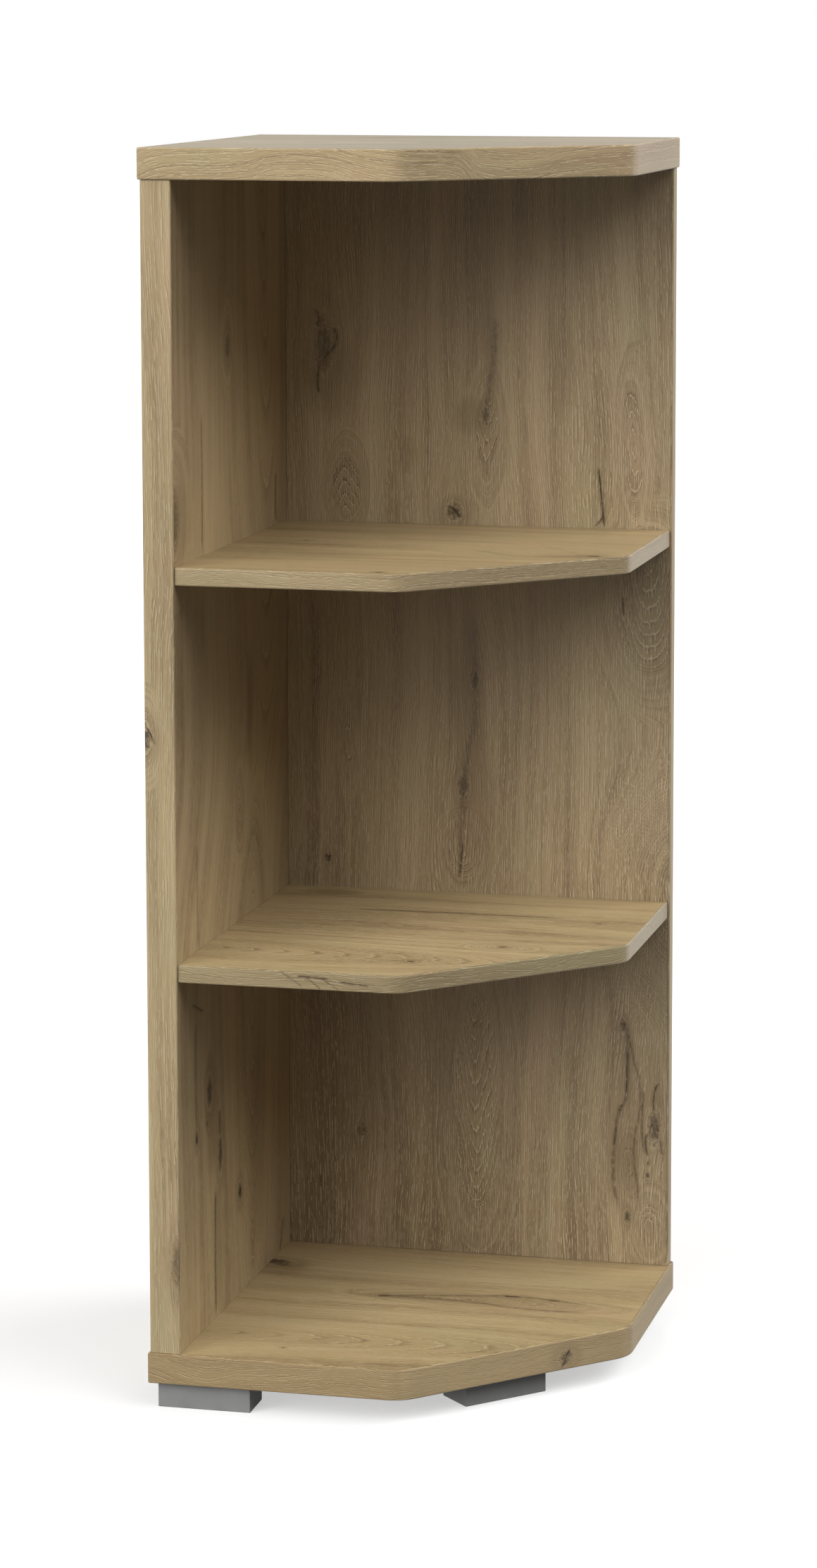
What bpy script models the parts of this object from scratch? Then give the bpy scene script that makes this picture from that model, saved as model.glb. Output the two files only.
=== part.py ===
"""Open end file shelf with a cut front corner: three binder bays between laminated boards.

Metres, +Z up. The origin is on the floor, under the middle of the outline. The front looks to -Y,
the closed side panel is at -X and the back panel at +Y. The front and the right end are open.
"""

import math

import bmesh
import bpy
from mathutils import Matrix, Vector

# Outline of the top and bottom panels
WIDTH = 0.408
DEPTH = 0.392
CUT_LEG = 0.173
CORNER_RADIUS = 0.035

# Boards
THICK_BOARD = 0.028
THIN_BOARD = 0.016
BAY_HEIGHT = 0.340
CARCASE_SETBACK = 0.002
SHELF_SETBACK = 0.0045

# Edge bands
BAND_THICKNESS = 0.002
ARRIS_RADIUS = 0.0014
ARRIS_STEPS = 3
CORNER_STEPS = 9

# Clearances
SEAT_GAP = 0.0003
GLUE_LINE = 0.0002
DRILL_SPARE = 0.0005
MERGE_DISTANCE = 0.00002

# Feet
FOOT_LENGTH = 0.086
FOOT_DEPTH = 0.0395
FOOT_HEIGHT = 0.024
FOOT_EDGE_RADIUS = 0.0008
FOOT_EDGE_STEPS = 2
FOOT_LEFT_INSET = 0.007
FOOT_FRONT_INSET = 0.009
FOOT_CUT_INSET = 0.019

# Foot screws
SCREW_RADIUS = 0.002
SCREW_HEAD_RADIUS = 0.004
SCREW_HEAD_HEIGHT = 0.0024
SCREW_TIP_LENGTH = 0.004
SCREW_SPACING_SHARE = 0.58
SCREW_IN_PANEL_SHARE = 0.5
SCREW_RECESS_SHARE = 0.42
DRIVER_ROOM = 0.001

# Cross recess of the screws and cams
CROSS_LENGTH = 0.0048
CROSS_WIDTH = 0.001
CROSS_DEPTH = 0.0016

# Dowels
DOWEL_RADIUS = 0.004
DOWEL_LENGTH = 0.030
DOWEL_IN_FACE_SHARE = 0.625
DOWEL_CHAMFER = 0.001
DOWEL_INSET = 0.060

# Cam locks
CAM_RADIUS = 0.0075
CAM_HEIGHT_SHARE = 0.75
CAM_SUNK = 0.0003
CAM_REACH = 0.034
CAM_INSET = 0.055
CAM_SWEEP = math.radians(100)
CAM_SWEEP_STEPS = 6

# Bolts that the cams pull on
BOLT_IN_FACE_SHARE = 0.4
BOLT_THREAD_RADIUS = 0.003
BOLT_COLLAR_RADIUS = 0.0036
BOLT_COLLAR_LENGTH = 0.0015
BOLT_SHANK_RADIUS = 0.0025
BOLT_NECK_RADIUS = 0.0016
BOLT_HEAD_RADIUS = 0.0030
BOLT_HEAD_LENGTH = 0.0024

# Sides of the round pieces and of the bores that take them
ROUND_SIDES = 12
CAM_SIDES = 20

# Angles
SHARP_ANGLE = math.radians(35)
FLAT_ANGLE = math.radians(0.1)
EIGHTH_TURN = math.radians(45)

# Places worked out from the sizes above
LEFT = -WIDTH / 2
RIGHT = WIDTH / 2
FRONT = -DEPTH / 2
REAR = DEPTH / 2
BAND_AND_GLUE = BAND_THICKNESS + GLUE_LINE
BOTTOM_LOW = FOOT_HEIGHT
BOTTOM_TOP = BOTTOM_LOW + THICK_BOARD
LOWER_SHELF_LOW = BOTTOM_TOP + BAY_HEIGHT
LOWER_SHELF_TOP = LOWER_SHELF_LOW + THIN_BOARD
UPPER_SHELF_LOW = LOWER_SHELF_TOP + BAY_HEIGHT
UPPER_SHELF_TOP = UPPER_SHELF_LOW + THIN_BOARD
TOP_LOW = UPPER_SHELF_TOP + BAY_HEIGHT
TOP_TOP = TOP_LOW + THICK_BOARD
UPRIGHT_LOW = BOTTOM_TOP + SEAT_GAP
UPRIGHT_TOP = TOP_LOW - SEAT_GAP
SIDE_OUTER = LEFT + CARCASE_SETBACK
SIDE_INNER = SIDE_OUTER + THICK_BOARD
SIDE_MIDDLE = (SIDE_OUTER + SIDE_INNER) / 2
SIDE_FRONT = FRONT + CARCASE_SETBACK
SIDE_REAR = REAR - CARCASE_SETBACK
BACK_OUTER = REAR - CARCASE_SETBACK
BACK_INNER = BACK_OUTER - THIN_BOARD
BACK_MIDDLE = (BACK_OUTER + BACK_INNER) / 2
BACK_LEFT = SIDE_INNER + SEAT_GAP
BACK_RIGHT = RIGHT - CARCASE_SETBACK
SHELF_LEFT = SIDE_INNER + SEAT_GAP
SHELF_RIGHT = RIGHT - SHELF_SETBACK
SHELF_FRONT = FRONT + SHELF_SETBACK
SHELF_REAR = BACK_INNER - SEAT_GAP
SCREW_RECESS_DEPTH = FOOT_HEIGHT * SCREW_RECESS_SHARE
SCREW_START = SCREW_RECESS_DEPTH - SEAT_GAP - SCREW_HEAD_HEIGHT
SCREW_END = FOOT_HEIGHT + THICK_BOARD * SCREW_IN_PANEL_SHARE
DOWEL_IN_FACE = THIN_BOARD * DOWEL_IN_FACE_SHARE
CAM_HEIGHT = THIN_BOARD * CAM_HEIGHT_SHARE
BOLT_IN_FACE = THICK_BOARD * BOLT_IN_FACE_SHARE

UP = Vector((0, 0, 1))
DOWN = Vector((0, 0, -1))
RIGHTWARDS = Vector((1, 0, 0))
FORWARDS = Vector((0, -1, 0))
REARWARDS = Vector((0, 1, 0))

# Bores to be cut, listed for each board and foot as (radius, start, end, sides)
bores = {}


def clear_scene():
    for obj in list(bpy.data.objects):
        bpy.data.objects.remove(obj)


def new_collection(name):
    collection = bpy.data.collections.new(name)
    bpy.context.scene.collection.children.link(collection)
    return collection


def make_material(name, colour, roughness, metallic=0.0):
    material = bpy.data.materials.new(name)
    material.use_nodes = True
    shader = material.node_tree.nodes["Principled BSDF"]
    shader.inputs["Base Color"].default_value = (*colour, 1.0)
    shader.inputs["Roughness"].default_value = roughness
    shader.inputs["Metallic"].default_value = metallic
    return material


def mesh_from(bm, name, material=None):
    mesh = bpy.data.meshes.new(name)
    bm.to_mesh(mesh)
    bm.free()
    if material:
        mesh.materials.append(material)
    mesh.shade_smooth()
    mesh.set_sharp_from_angle(angle=SHARP_ANGLE)
    return mesh


def add_part(name, mesh, place=None):
    obj = bpy.data.objects.new(name, mesh)
    parts.objects.link(obj)
    if place:
        obj.matrix_world = place
    return obj


def add_cutter(name, bm):
    obj = bpy.data.objects.new(name, mesh_from(bm, name))
    obj.hide_render = True
    obj.display_type = "WIRE"
    cutters.objects.link(obj)
    return obj


def cut(obj, cutter):
    modifier = obj.modifiers.new(cutter.name, "BOOLEAN")
    modifier.operation = "DIFFERENCE"
    modifier.solver = "EXACT"
    modifier.object = cutter


def evaluated_mesh(obj):
    """A plain mesh of what the object's modifiers make."""
    graph = bpy.context.evaluated_depsgraph_get()
    return bpy.data.meshes.new_from_object(obj.evaluated_get(graph))


def flat_solid(outline, low, high):
    """A bmesh of a plan outline, filled as a 2D curve and raised from low to high."""
    curve = bpy.data.curves.new("outline", "CURVE")
    curve.dimensions = "2D"
    curve.fill_mode = "BOTH"
    curve.extrude = (high - low) / 2
    spline = curve.splines.new("POLY")
    spline.points.add(len(outline) - 1)
    for point, (x, y) in zip(spline.points, outline):
        point.co = (x, y, 0, 1)
    spline.use_cyclic_u = True
    guide = bpy.data.objects.new("outline", curve)
    cutters.objects.link(guide)
    bm = bmesh.new()
    bm.from_mesh(evaluated_mesh(guide))
    bpy.data.objects.remove(guide)
    bmesh.ops.remove_doubles(bm, verts=bm.verts, dist=MERGE_DISTANCE)
    bmesh.ops.translate(bm, verts=bm.verts, vec=(0, 0, (low + high) / 2))
    bmesh.ops.dissolve_limit(bm, angle_limit=FLAT_ANGLE, verts=bm.verts, edges=bm.edges)
    bmesh.ops.recalc_face_normals(bm, faces=bm.faces)
    return bm


def rectangle(x_low, y_low, x_high, y_high):
    return [(x_low, y_low), (x_high, y_low), (x_high, y_high), (x_low, y_high)]


def arc(centre, radius, start, end, steps):
    turns = [start + (end - start) * step / steps for step in range(steps + 1)]
    return [(centre[0] + radius * math.cos(t), centre[1] + radius * math.sin(t)) for t in turns]


def open_edge(inset, x_start, y_end):
    """The front, the cut corner and the right end, from x_start to y_end, this far inside the outline."""
    tangent = CORNER_RADIUS * math.tan(EIGHTH_TURN / 2)
    radius = CORNER_RADIUS - inset
    front_centre = (RIGHT - CUT_LEG - tangent, FRONT + CORNER_RADIUS)
    right_centre = (RIGHT - CORNER_RADIUS, FRONT + CUT_LEG + tangent)
    points = [(x_start, FRONT + inset)]
    points += arc(front_centre, radius, -2 * EIGHTH_TURN, -EIGHTH_TURN, CORNER_STEPS)
    points += arc(right_centre, radius, -EIGHTH_TURN, 0, CORNER_STEPS)
    return points + [(RIGHT - inset, y_end)]


def key(x, y):
    return (round(x, 6), round(y, 6))


def round_arrises(bm, shown, corners):
    """Rounds the level edges that follow the shown points, and the upright edges at the corners."""
    steps = {frozenset((key(*a), key(*b))) for a, b in zip(shown, shown[1:])}
    uprights = {key(*corner) for corner in corners}
    chosen = []
    for edge in bm.edges:
        ends = [key(*vert.co.xy) for vert in edge.verts]
        if frozenset(ends) in steps or (ends[0] == ends[1] and ends[0] in uprights):
            chosen.append(edge)
    bmesh.ops.bevel(
        bm,
        geom=chosen,
        offset=ARRIS_RADIUS,
        segments=ARRIS_STEPS,
        profile=0.5,
        affect="EDGES",
    )


def strip(name, outer, inner, low, high, shown=(), corners=()):
    """An edge band between two paths that run side by side."""
    bm = flat_solid(outer + inner[::-1], low, high)
    round_arrises(bm, shown, corners)
    return add_part(name, mesh_from(bm, name, finishes["band"]))


def board(name, outline, low, high):
    bores[name] = []
    return add_part(name, mesh_from(flat_solid(outline, low, high), name, finishes["oak"]))


def add_cylinder(bm, radius, start, end, sides):
    """Adds a closed cylinder from start to end."""
    axis = end - start
    turn = UP.rotation_difference(axis).to_matrix().to_4x4()
    bmesh.ops.create_cone(
        bm,
        cap_ends=True,
        segments=sides,
        radius1=radius,
        radius2=radius,
        depth=axis.length,
        matrix=Matrix.Translation((start + end) / 2) @ turn,
    )


def add_box(bm, low, high):
    """Adds a box between two corners."""
    low, high = Vector(low), Vector(high)
    size = Matrix.Diagonal((*(high - low), 1))
    bmesh.ops.create_cube(bm, size=1, matrix=Matrix.Translation((low + high) / 2) @ size)


def drill(name, radius, start, end, sides=ROUND_SIDES):
    bores[name].append((radius, start, end, sides))


def cut_bores():
    """Cuts each drilled piece with one cutter for each of its bores."""
    for name, drilled in bores.items():
        for number, (radius, start, end, sides) in enumerate(drilled, 1):
            bm = bmesh.new()
            add_cylinder(bm, radius, start, end, sides)
            cut(bpy.data.objects[name], add_cutter(f"{name}_bore_{number}", bm))


def turned(name, profile, finish):
    """The mesh of a turned piece along +Z. The profile lists (radius, height) from its start to its end."""
    mesh = bpy.data.meshes.new(name)
    points = [(radius, 0, height) for radius, height in reversed(profile)]
    mesh.from_pydata(points, [(i, i + 1) for i in range(len(points) - 1)], [])
    lathe = bpy.data.objects.new(name, mesh)
    cutters.objects.link(lathe)
    screw = lathe.modifiers.new("turn", "SCREW")
    screw.steps = ROUND_SIDES
    screw.render_steps = ROUND_SIDES
    screw.use_merge_vertices = True
    screw.merge_threshold = MERGE_DISTANCE
    bm = bmesh.new()
    bm.from_mesh(evaluated_mesh(lathe))
    bpy.data.objects.remove(lathe)
    return mesh_from(bm, name, finishes[finish])


def trimmed(mesh, cutter_meshes):
    """The mesh with each cutter taken out of it, one after the other."""
    name = mesh.name
    finish = mesh.materials[0]
    blank = bpy.data.objects.new(name + "_blank", mesh)
    cutters.objects.link(blank)
    tools = [add_cutter(f"{name}_tool_{i}", bm) for i, bm in enumerate(cutter_meshes, 1)]
    for tool in tools:
        cut(blank, tool)
    bm = bmesh.new()
    bm.from_mesh(evaluated_mesh(blank))
    for obj in [blank, *tools]:
        bpy.data.objects.remove(obj)
    return mesh_from(bm, name + "_cut", finish)


def cross_tools(face, inwards):
    """Two crossing bars that cut a cross recess into a face at this height."""
    tools = []
    for half_x, half_y in ((CROSS_LENGTH / 2, CROSS_WIDTH / 2), (CROSS_WIDTH / 2, CROSS_LENGTH / 2)):
        bm = bmesh.new()
        depths = sorted((face - inwards * DRILL_SPARE, face + inwards * CROSS_DEPTH))
        add_box(bm, (-half_x, -half_y, depths[0]), (half_x, half_y, depths[1]))
        tools.append(bm)
    return tools


def dowel_mesh():
    profile = [
        (0, 0),
        (DOWEL_RADIUS - DOWEL_CHAMFER, 0),
        (DOWEL_RADIUS, DOWEL_CHAMFER),
        (DOWEL_RADIUS, DOWEL_LENGTH - DOWEL_CHAMFER),
        (DOWEL_RADIUS - DOWEL_CHAMFER, DOWEL_LENGTH),
        (0, DOWEL_LENGTH),
    ]
    return turned("dowel", profile, "beech")


def screw_mesh():
    """A pan head screw with its head's face at height 0."""
    length = SCREW_END - SCREW_START
    profile = [
        (0, 0),
        (SCREW_HEAD_RADIUS - SCREW_HEAD_HEIGHT / 2, 0),
        (SCREW_HEAD_RADIUS, SCREW_HEAD_HEIGHT / 2),
        (SCREW_HEAD_RADIUS, SCREW_HEAD_HEIGHT),
        (SCREW_RADIUS, SCREW_HEAD_HEIGHT),
        (SCREW_RADIUS, length - SCREW_TIP_LENGTH),
        (0, length),
    ]
    return trimmed(turned("screw", profile, "steel"), cross_tools(0, 1))


def bolt_mesh():
    """A cam bolt with the end of its thread at height 0."""
    seat = BOLT_IN_FACE
    head_middle = seat + CAM_REACH
    neck_start = head_middle - CAM_RADIUS - DRILL_SPARE
    head_start = head_middle - BOLT_HEAD_LENGTH / 2
    head_end = head_middle + BOLT_HEAD_LENGTH / 2
    profile = [
        (0, 0),
        (BOLT_THREAD_RADIUS, 0),
        (BOLT_THREAD_RADIUS, seat + SEAT_GAP),
        (BOLT_COLLAR_RADIUS, seat + SEAT_GAP),
        (BOLT_COLLAR_RADIUS, seat + SEAT_GAP + BOLT_COLLAR_LENGTH),
        (BOLT_SHANK_RADIUS, seat + SEAT_GAP + BOLT_COLLAR_LENGTH),
        (BOLT_SHANK_RADIUS, neck_start),
        (BOLT_NECK_RADIUS, neck_start),
        (BOLT_NECK_RADIUS, head_start),
        (BOLT_HEAD_RADIUS, head_start),
        (BOLT_HEAD_RADIUS, head_end),
        (0, head_end),
    ]
    return turned("bolt", profile, "steel")


def cam_mesh():
    """A cam with its driving face at height 0 and its bolt coming in along +X from the -X side."""
    blank = bmesh.new()
    add_cylinder(blank, CAM_RADIUS, DOWN * CAM_HEIGHT, Vector(), CAM_SIDES)
    axis_height = CAM_SUNK - THIN_BOARD / 2
    head_room = BOLT_HEAD_RADIUS + SEAT_GAP
    neck_room = BOLT_NECK_RADIUS + SEAT_GAP
    hollow_radius = math.hypot(BOLT_HEAD_RADIUS, BOLT_HEAD_LENGTH / 2) + SEAT_GAP
    hollow = bmesh.new()
    add_cylinder(
        hollow,
        hollow_radius / math.cos(math.pi / ROUND_SIDES),
        Vector((0, 0, axis_height - head_room)),
        Vector((0, 0, axis_height + head_room)),
        ROUND_SIDES,
    )
    past_rim = CAM_RADIUS + DRILL_SPARE
    margin = math.asin(neck_room / hollow_radius)
    track_start = math.pi - margin
    track_end = math.pi + CAM_SWEEP
    rim = arc((0, 0), past_rim, track_start, track_end, CAM_SWEEP_STEPS)
    track = flat_solid([(0, 0), *rim], axis_height - neck_room, axis_height + neck_room)
    mouth = bmesh.new()
    add_box(
        mouth,
        (0, -head_room, axis_height - head_room),
        (past_rim, head_room, axis_height + head_room),
    )
    bmesh.ops.rotate(mouth, verts=mouth.verts, matrix=Matrix.Rotation(track_end, 3, "Z"))
    tools = [hollow, track, mouth, *cross_tools(0, -1)]
    return trimmed(mesh_from(blank, "cam", finishes["zinc"]), tools)


def pointing(start, direction):
    """A placement whose +Z points along direction."""
    return Matrix.Translation(start) @ UP.rotation_difference(direction).to_matrix().to_4x4()


def add_dowel(name, face_board, end_board, seat, direction):
    """A dowel that stands in the face at seat and points along direction into the other board's end."""
    start = seat - direction * DOWEL_IN_FACE
    add_part(name, shared["dowel"], pointing(start, direction))
    for board_name in (face_board, end_board):
        drill(
            board_name,
            DOWEL_RADIUS + SEAT_GAP,
            start - direction * DRILL_SPARE,
            start + direction * (DOWEL_LENGTH + DRILL_SPARE),
        )


def add_cam_lock(name, face_board, end_board, seat, direction, outwards):
    """A bolt that stands in the face at seat, and a cam in the other board, open towards outwards."""
    start = seat - direction * BOLT_IN_FACE
    add_part(name + "_bolt", shared["bolt"], pointing(start, direction))
    drill(
        face_board,
        BOLT_THREAD_RADIUS + SEAT_GAP,
        start - direction * DRILL_SPARE,
        seat + direction * DRILL_SPARE,
    )
    cam_middle = seat + direction * CAM_REACH
    drill(end_board, BOLT_COLLAR_RADIUS + SEAT_GAP, seat, cam_middle)
    face = cam_middle + outwards * THIN_BOARD / 2
    drill(
        end_board,
        CAM_RADIUS + SEAT_GAP,
        face - outwards * (CAM_SUNK + CAM_HEIGHT + SEAT_GAP),
        face + outwards * DRILL_SPARE,
        CAM_SIDES,
    )
    turn = Matrix((direction, outwards.cross(direction), outwards)).transposed().to_4x4()
    add_part(name + "_cam", shared["cam"], Matrix.Translation(face - outwards * CAM_SUNK) @ turn)


def thick_panel(stem, low):
    """The top or bottom panel: its core board and the three edge bands."""
    high = low + THICK_BOARD
    core_left = LEFT + BAND_AND_GLUE
    core_rear = REAR - BAND_AND_GLUE
    core_edge = open_edge(BAND_AND_GLUE, core_left, core_rear)
    board(stem + "_panel", [*core_edge, (core_left, core_rear)], low, high)
    outer = open_edge(0, LEFT, REAR)
    inner = open_edge(BAND_THICKNESS, LEFT, REAR)
    shown = [inner[0], *outer, inner[-1]]
    strip(stem + "_front_band", outer, inner, low, high, shown, [outer[0], outer[-1]])
    left_start = FRONT + BAND_AND_GLUE
    left_outer = [(LEFT, left_start), (LEFT, REAR)]
    left_inner = [(LEFT + BAND_THICKNESS, y) for x, y in left_outer]
    left_shown = [*left_outer, left_inner[1]]
    strip(stem + "_left_band", left_outer, left_inner, low, high, left_shown, left_outer[1:])
    rear_outer = [(core_left, REAR), (RIGHT - BAND_AND_GLUE, REAR)]
    rear_inner = [(x, REAR - BAND_THICKNESS) for x, y in rear_outer]
    strip(stem + "_rear_band", rear_outer, rear_inner, low, high, rear_outer)


def side_panel():
    outline = rectangle(SIDE_OUTER, SIDE_FRONT + BAND_AND_GLUE, SIDE_INNER, SIDE_REAR - BAND_AND_GLUE)
    board("side_panel", outline, UPRIGHT_LOW, UPRIGHT_TOP)
    for end, outer_y, inwards in (("front", SIDE_FRONT, 1), ("rear", SIDE_REAR, -1)):
        outer = [(SIDE_OUTER, outer_y), (SIDE_INNER, outer_y)]
        inner = [(x, y + inwards * BAND_THICKNESS) for x, y in outer]
        strip(f"side_{end}_band", outer, inner, UPRIGHT_LOW, UPRIGHT_TOP, corners=outer)


def back_panel():
    outline = rectangle(BACK_LEFT, BACK_INNER, BACK_RIGHT - BAND_AND_GLUE, BACK_OUTER)
    board("back_panel", outline, UPRIGHT_LOW, UPRIGHT_TOP)
    outer = [(BACK_RIGHT, BACK_INNER), (BACK_RIGHT, BACK_OUTER)]
    inner = [(x - BAND_THICKNESS, y) for x, y in outer]
    strip("back_end_band", outer, inner, UPRIGHT_LOW, UPRIGHT_TOP, corners=outer)


def shelf(name, low):
    """A thin shelf that follows the cut corner, with its band, cam locks and rear dowels."""
    high = low + THIN_BOARD
    middle = (low + high) / 2
    core_edge = open_edge(SHELF_SETBACK + BAND_AND_GLUE, SHELF_LEFT, SHELF_REAR)
    board(name, [*core_edge, (SHELF_LEFT, SHELF_REAR)], low, high)
    outer = open_edge(SHELF_SETBACK, SHELF_LEFT, SHELF_REAR)
    inner = open_edge(SHELF_SETBACK + BAND_THICKNESS, SHELF_LEFT, SHELF_REAR)
    strip(name + "_band", outer, inner, low, high, shown=outer)
    for end, y in (("front", SHELF_FRONT + CAM_INSET), ("rear", SHELF_REAR - CAM_INSET)):
        seat = Vector((SIDE_INNER, y, middle))
        add_cam_lock(f"{name}_{end}", "side_panel", name, seat, RIGHTWARDS, DOWN)
    for end, x in (("left", SHELF_LEFT + DOWEL_INSET), ("right", SHELF_RIGHT - DOWEL_INSET)):
        seat = Vector((x, BACK_INNER, middle))
        add_dowel(f"{name}_{end}_dowel", "back_panel", name, seat, FORWARDS)


def side_panel_joints():
    ends = (("top", TOP_LOW, DOWN), ("bottom", BOTTOM_TOP, UP))
    for stem, z, direction in ends:
        for end, y in (("front", SIDE_FRONT + DOWEL_INSET), ("rear", SIDE_REAR - DOWEL_INSET)):
            seat = Vector((SIDE_MIDDLE, y, z))
            add_dowel(f"side_{stem}_{end}_dowel", stem + "_panel", "side_panel", seat, direction)


def back_panel_joints():
    ends = (("top", TOP_LOW, DOWN), ("bottom", BOTTOM_TOP, UP))
    for stem, z, direction in ends:
        for end, x in (("left", BACK_LEFT + CAM_INSET), ("right", BACK_RIGHT - CAM_INSET)):
            seat = Vector((x, BACK_MIDDLE, z))
            add_cam_lock(f"back_{stem}_{end}", stem + "_panel", "back_panel", seat, direction, REARWARDS)
        seat = Vector(((BACK_LEFT + BACK_RIGHT) / 2, BACK_MIDDLE, z))
        add_dowel(f"back_{stem}_dowel", stem + "_panel", "back_panel", seat, direction)
    bays = (("lower", BOTTOM_TOP), ("middle", LOWER_SHELF_TOP), ("upper", UPPER_SHELF_TOP))
    for stem, floor in bays:
        seat = Vector((SIDE_INNER, BACK_MIDDLE, floor + BAY_HEIGHT / 2))
        add_dowel(f"back_side_{stem}_dowel", "side_panel", "back_panel", seat, RIGHTWARDS)


def foot(name, x, y, turn):
    """A block with two screws in it that go up into the bottom panel."""
    height = FOOT_HEIGHT - SEAT_GAP
    bm = bmesh.new()
    add_box(bm, (-FOOT_LENGTH / 2, -FOOT_DEPTH / 2, 0), (FOOT_LENGTH / 2, FOOT_DEPTH / 2, height))
    shown = [edge for edge in bm.edges if min(vert.co.z for vert in edge.verts) < height / 2]
    bmesh.ops.bevel(
        bm,
        geom=shown,
        offset=FOOT_EDGE_RADIUS,
        segments=FOOT_EDGE_STEPS,
        profile=0.5,
        affect="EDGES",
    )
    place = Matrix.Translation((x, y, 0)) @ Matrix.Rotation(turn, 4, "Z")
    add_part(name, mesh_from(bm, name, finishes["grey"]), place)
    bores[name] = []
    for number, side in ((1, -1), (2, 1)):
        middle = place @ Vector((side * FOOT_LENGTH * SCREW_SPACING_SHARE / 2, 0, 0))
        add_part(f"{name}_screw_{number}", shared["screw"], pointing(middle + UP * SCREW_START, UP))
        recess_radius = SCREW_HEAD_RADIUS + DRIVER_ROOM
        drill(name, recess_radius, middle - UP * DRILL_SPARE, middle + UP * SCREW_RECESS_DEPTH)
        for drilled in (name, "bottom_panel"):
            drill(
                drilled,
                SCREW_RADIUS + SEAT_GAP,
                middle + UP * (SCREW_RECESS_DEPTH - DRILL_SPARE),
                middle + UP * (SCREW_END + DRILL_SPARE),
            )


def feet():
    left = LEFT + FOOT_LEFT_INSET + FOOT_LENGTH / 2
    front = FRONT + FOOT_FRONT_INSET + FOOT_DEPTH / 2
    rear = REAR - FOOT_FRONT_INSET - FOOT_DEPTH / 2
    right = RIGHT - FOOT_CUT_INSET - FOOT_LENGTH / 2
    foot("foot_front_left", left, front, 0)
    foot("foot_back_left", left, rear, 0)
    foot("foot_back_right", right, rear, 0)
    inwards = (FOOT_CUT_INSET + FOOT_DEPTH / 2) * math.sin(EIGHTH_TURN)
    foot("foot_cut_corner", RIGHT - CUT_LEG / 2 - inwards, FRONT + CUT_LEG / 2 + inwards, EIGHTH_TURN)


def hold_together():
    """Parents everything to one empty on the floor."""
    root = bpy.data.objects.new("file_shelf_origin", None)
    parts.objects.link(root)
    for obj in [*parts.objects, *cutters.objects]:
        if obj != root:
            obj.parent = root


clear_scene()
parts = new_collection("file_shelf")
cutters = new_collection("cutters")
finishes = {
    "oak": make_material("oak_laminate", (0.42, 0.32, 0.19), 0.55),
    "band": make_material("oak_edge_band", (0.40, 0.32, 0.20), 0.5),
    "grey": make_material("grey_plastic", (0.22, 0.22, 0.23), 0.6),
    "beech": make_material("beech", (0.62, 0.44, 0.27), 0.7),
    "steel": make_material("zinc_plated_steel", (0.62, 0.63, 0.65), 0.35, 1.0),
    "zinc": make_material("zinc_die_casting", (0.5, 0.51, 0.52), 0.45, 1.0),
}
shared = {
    "dowel": dowel_mesh(),
    "screw": screw_mesh(),
    "bolt": bolt_mesh(),
    "cam": cam_mesh(),
}
thick_panel("bottom", BOTTOM_LOW)
thick_panel("top", TOP_LOW)
side_panel()
back_panel()
shelf("lower_shelf", LOWER_SHELF_LOW)
shelf("upper_shelf", UPPER_SHELF_LOW)
side_panel_joints()
back_panel_joints()
feet()
cut_bores()
hold_together()
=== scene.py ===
import math

import bpy
from mathutils import Matrix, Vector


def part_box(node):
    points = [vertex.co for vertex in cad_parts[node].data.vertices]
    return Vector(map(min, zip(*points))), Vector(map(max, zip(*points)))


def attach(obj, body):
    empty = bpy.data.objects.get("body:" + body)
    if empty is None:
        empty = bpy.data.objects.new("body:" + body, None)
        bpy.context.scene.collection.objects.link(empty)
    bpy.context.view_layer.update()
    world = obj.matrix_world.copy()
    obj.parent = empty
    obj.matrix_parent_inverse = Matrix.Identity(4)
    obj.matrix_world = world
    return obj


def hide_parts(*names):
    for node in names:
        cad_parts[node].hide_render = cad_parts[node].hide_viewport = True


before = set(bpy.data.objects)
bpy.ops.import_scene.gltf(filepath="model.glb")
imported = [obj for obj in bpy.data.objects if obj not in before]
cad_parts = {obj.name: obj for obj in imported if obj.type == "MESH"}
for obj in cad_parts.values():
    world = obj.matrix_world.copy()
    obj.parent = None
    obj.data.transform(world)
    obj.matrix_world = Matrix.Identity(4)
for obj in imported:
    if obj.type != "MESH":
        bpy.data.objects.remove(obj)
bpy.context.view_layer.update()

# Sizes in metres: the front bands leave the front at x = CUT_START and reach the right end at y = CUT_END

FRONT = -0.196
RIGHT = 0.204
CUT_START = 0.031
CUT_END = -0.023
CUT_LENGTH = math.hypot(RIGHT - CUT_START, CUT_END - FRONT)
X, Y, Z = range(3)


def srgb(red, green, blue):
    """A colour read in 0 to 255 steps, as the linear colour that a shader takes."""
    def linear(level):
        share = level / 255
        return share / 12.92 if share <= 0.04045 else ((share + 0.055) / 1.055) ** 2.4

    return (linear(red), linear(green), linear(blue), 1.0)


def add_object(name, data):
    made = bpy.data.objects.new(name, data)
    bpy.context.scene.collection.objects.link(made)
    return made


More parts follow.
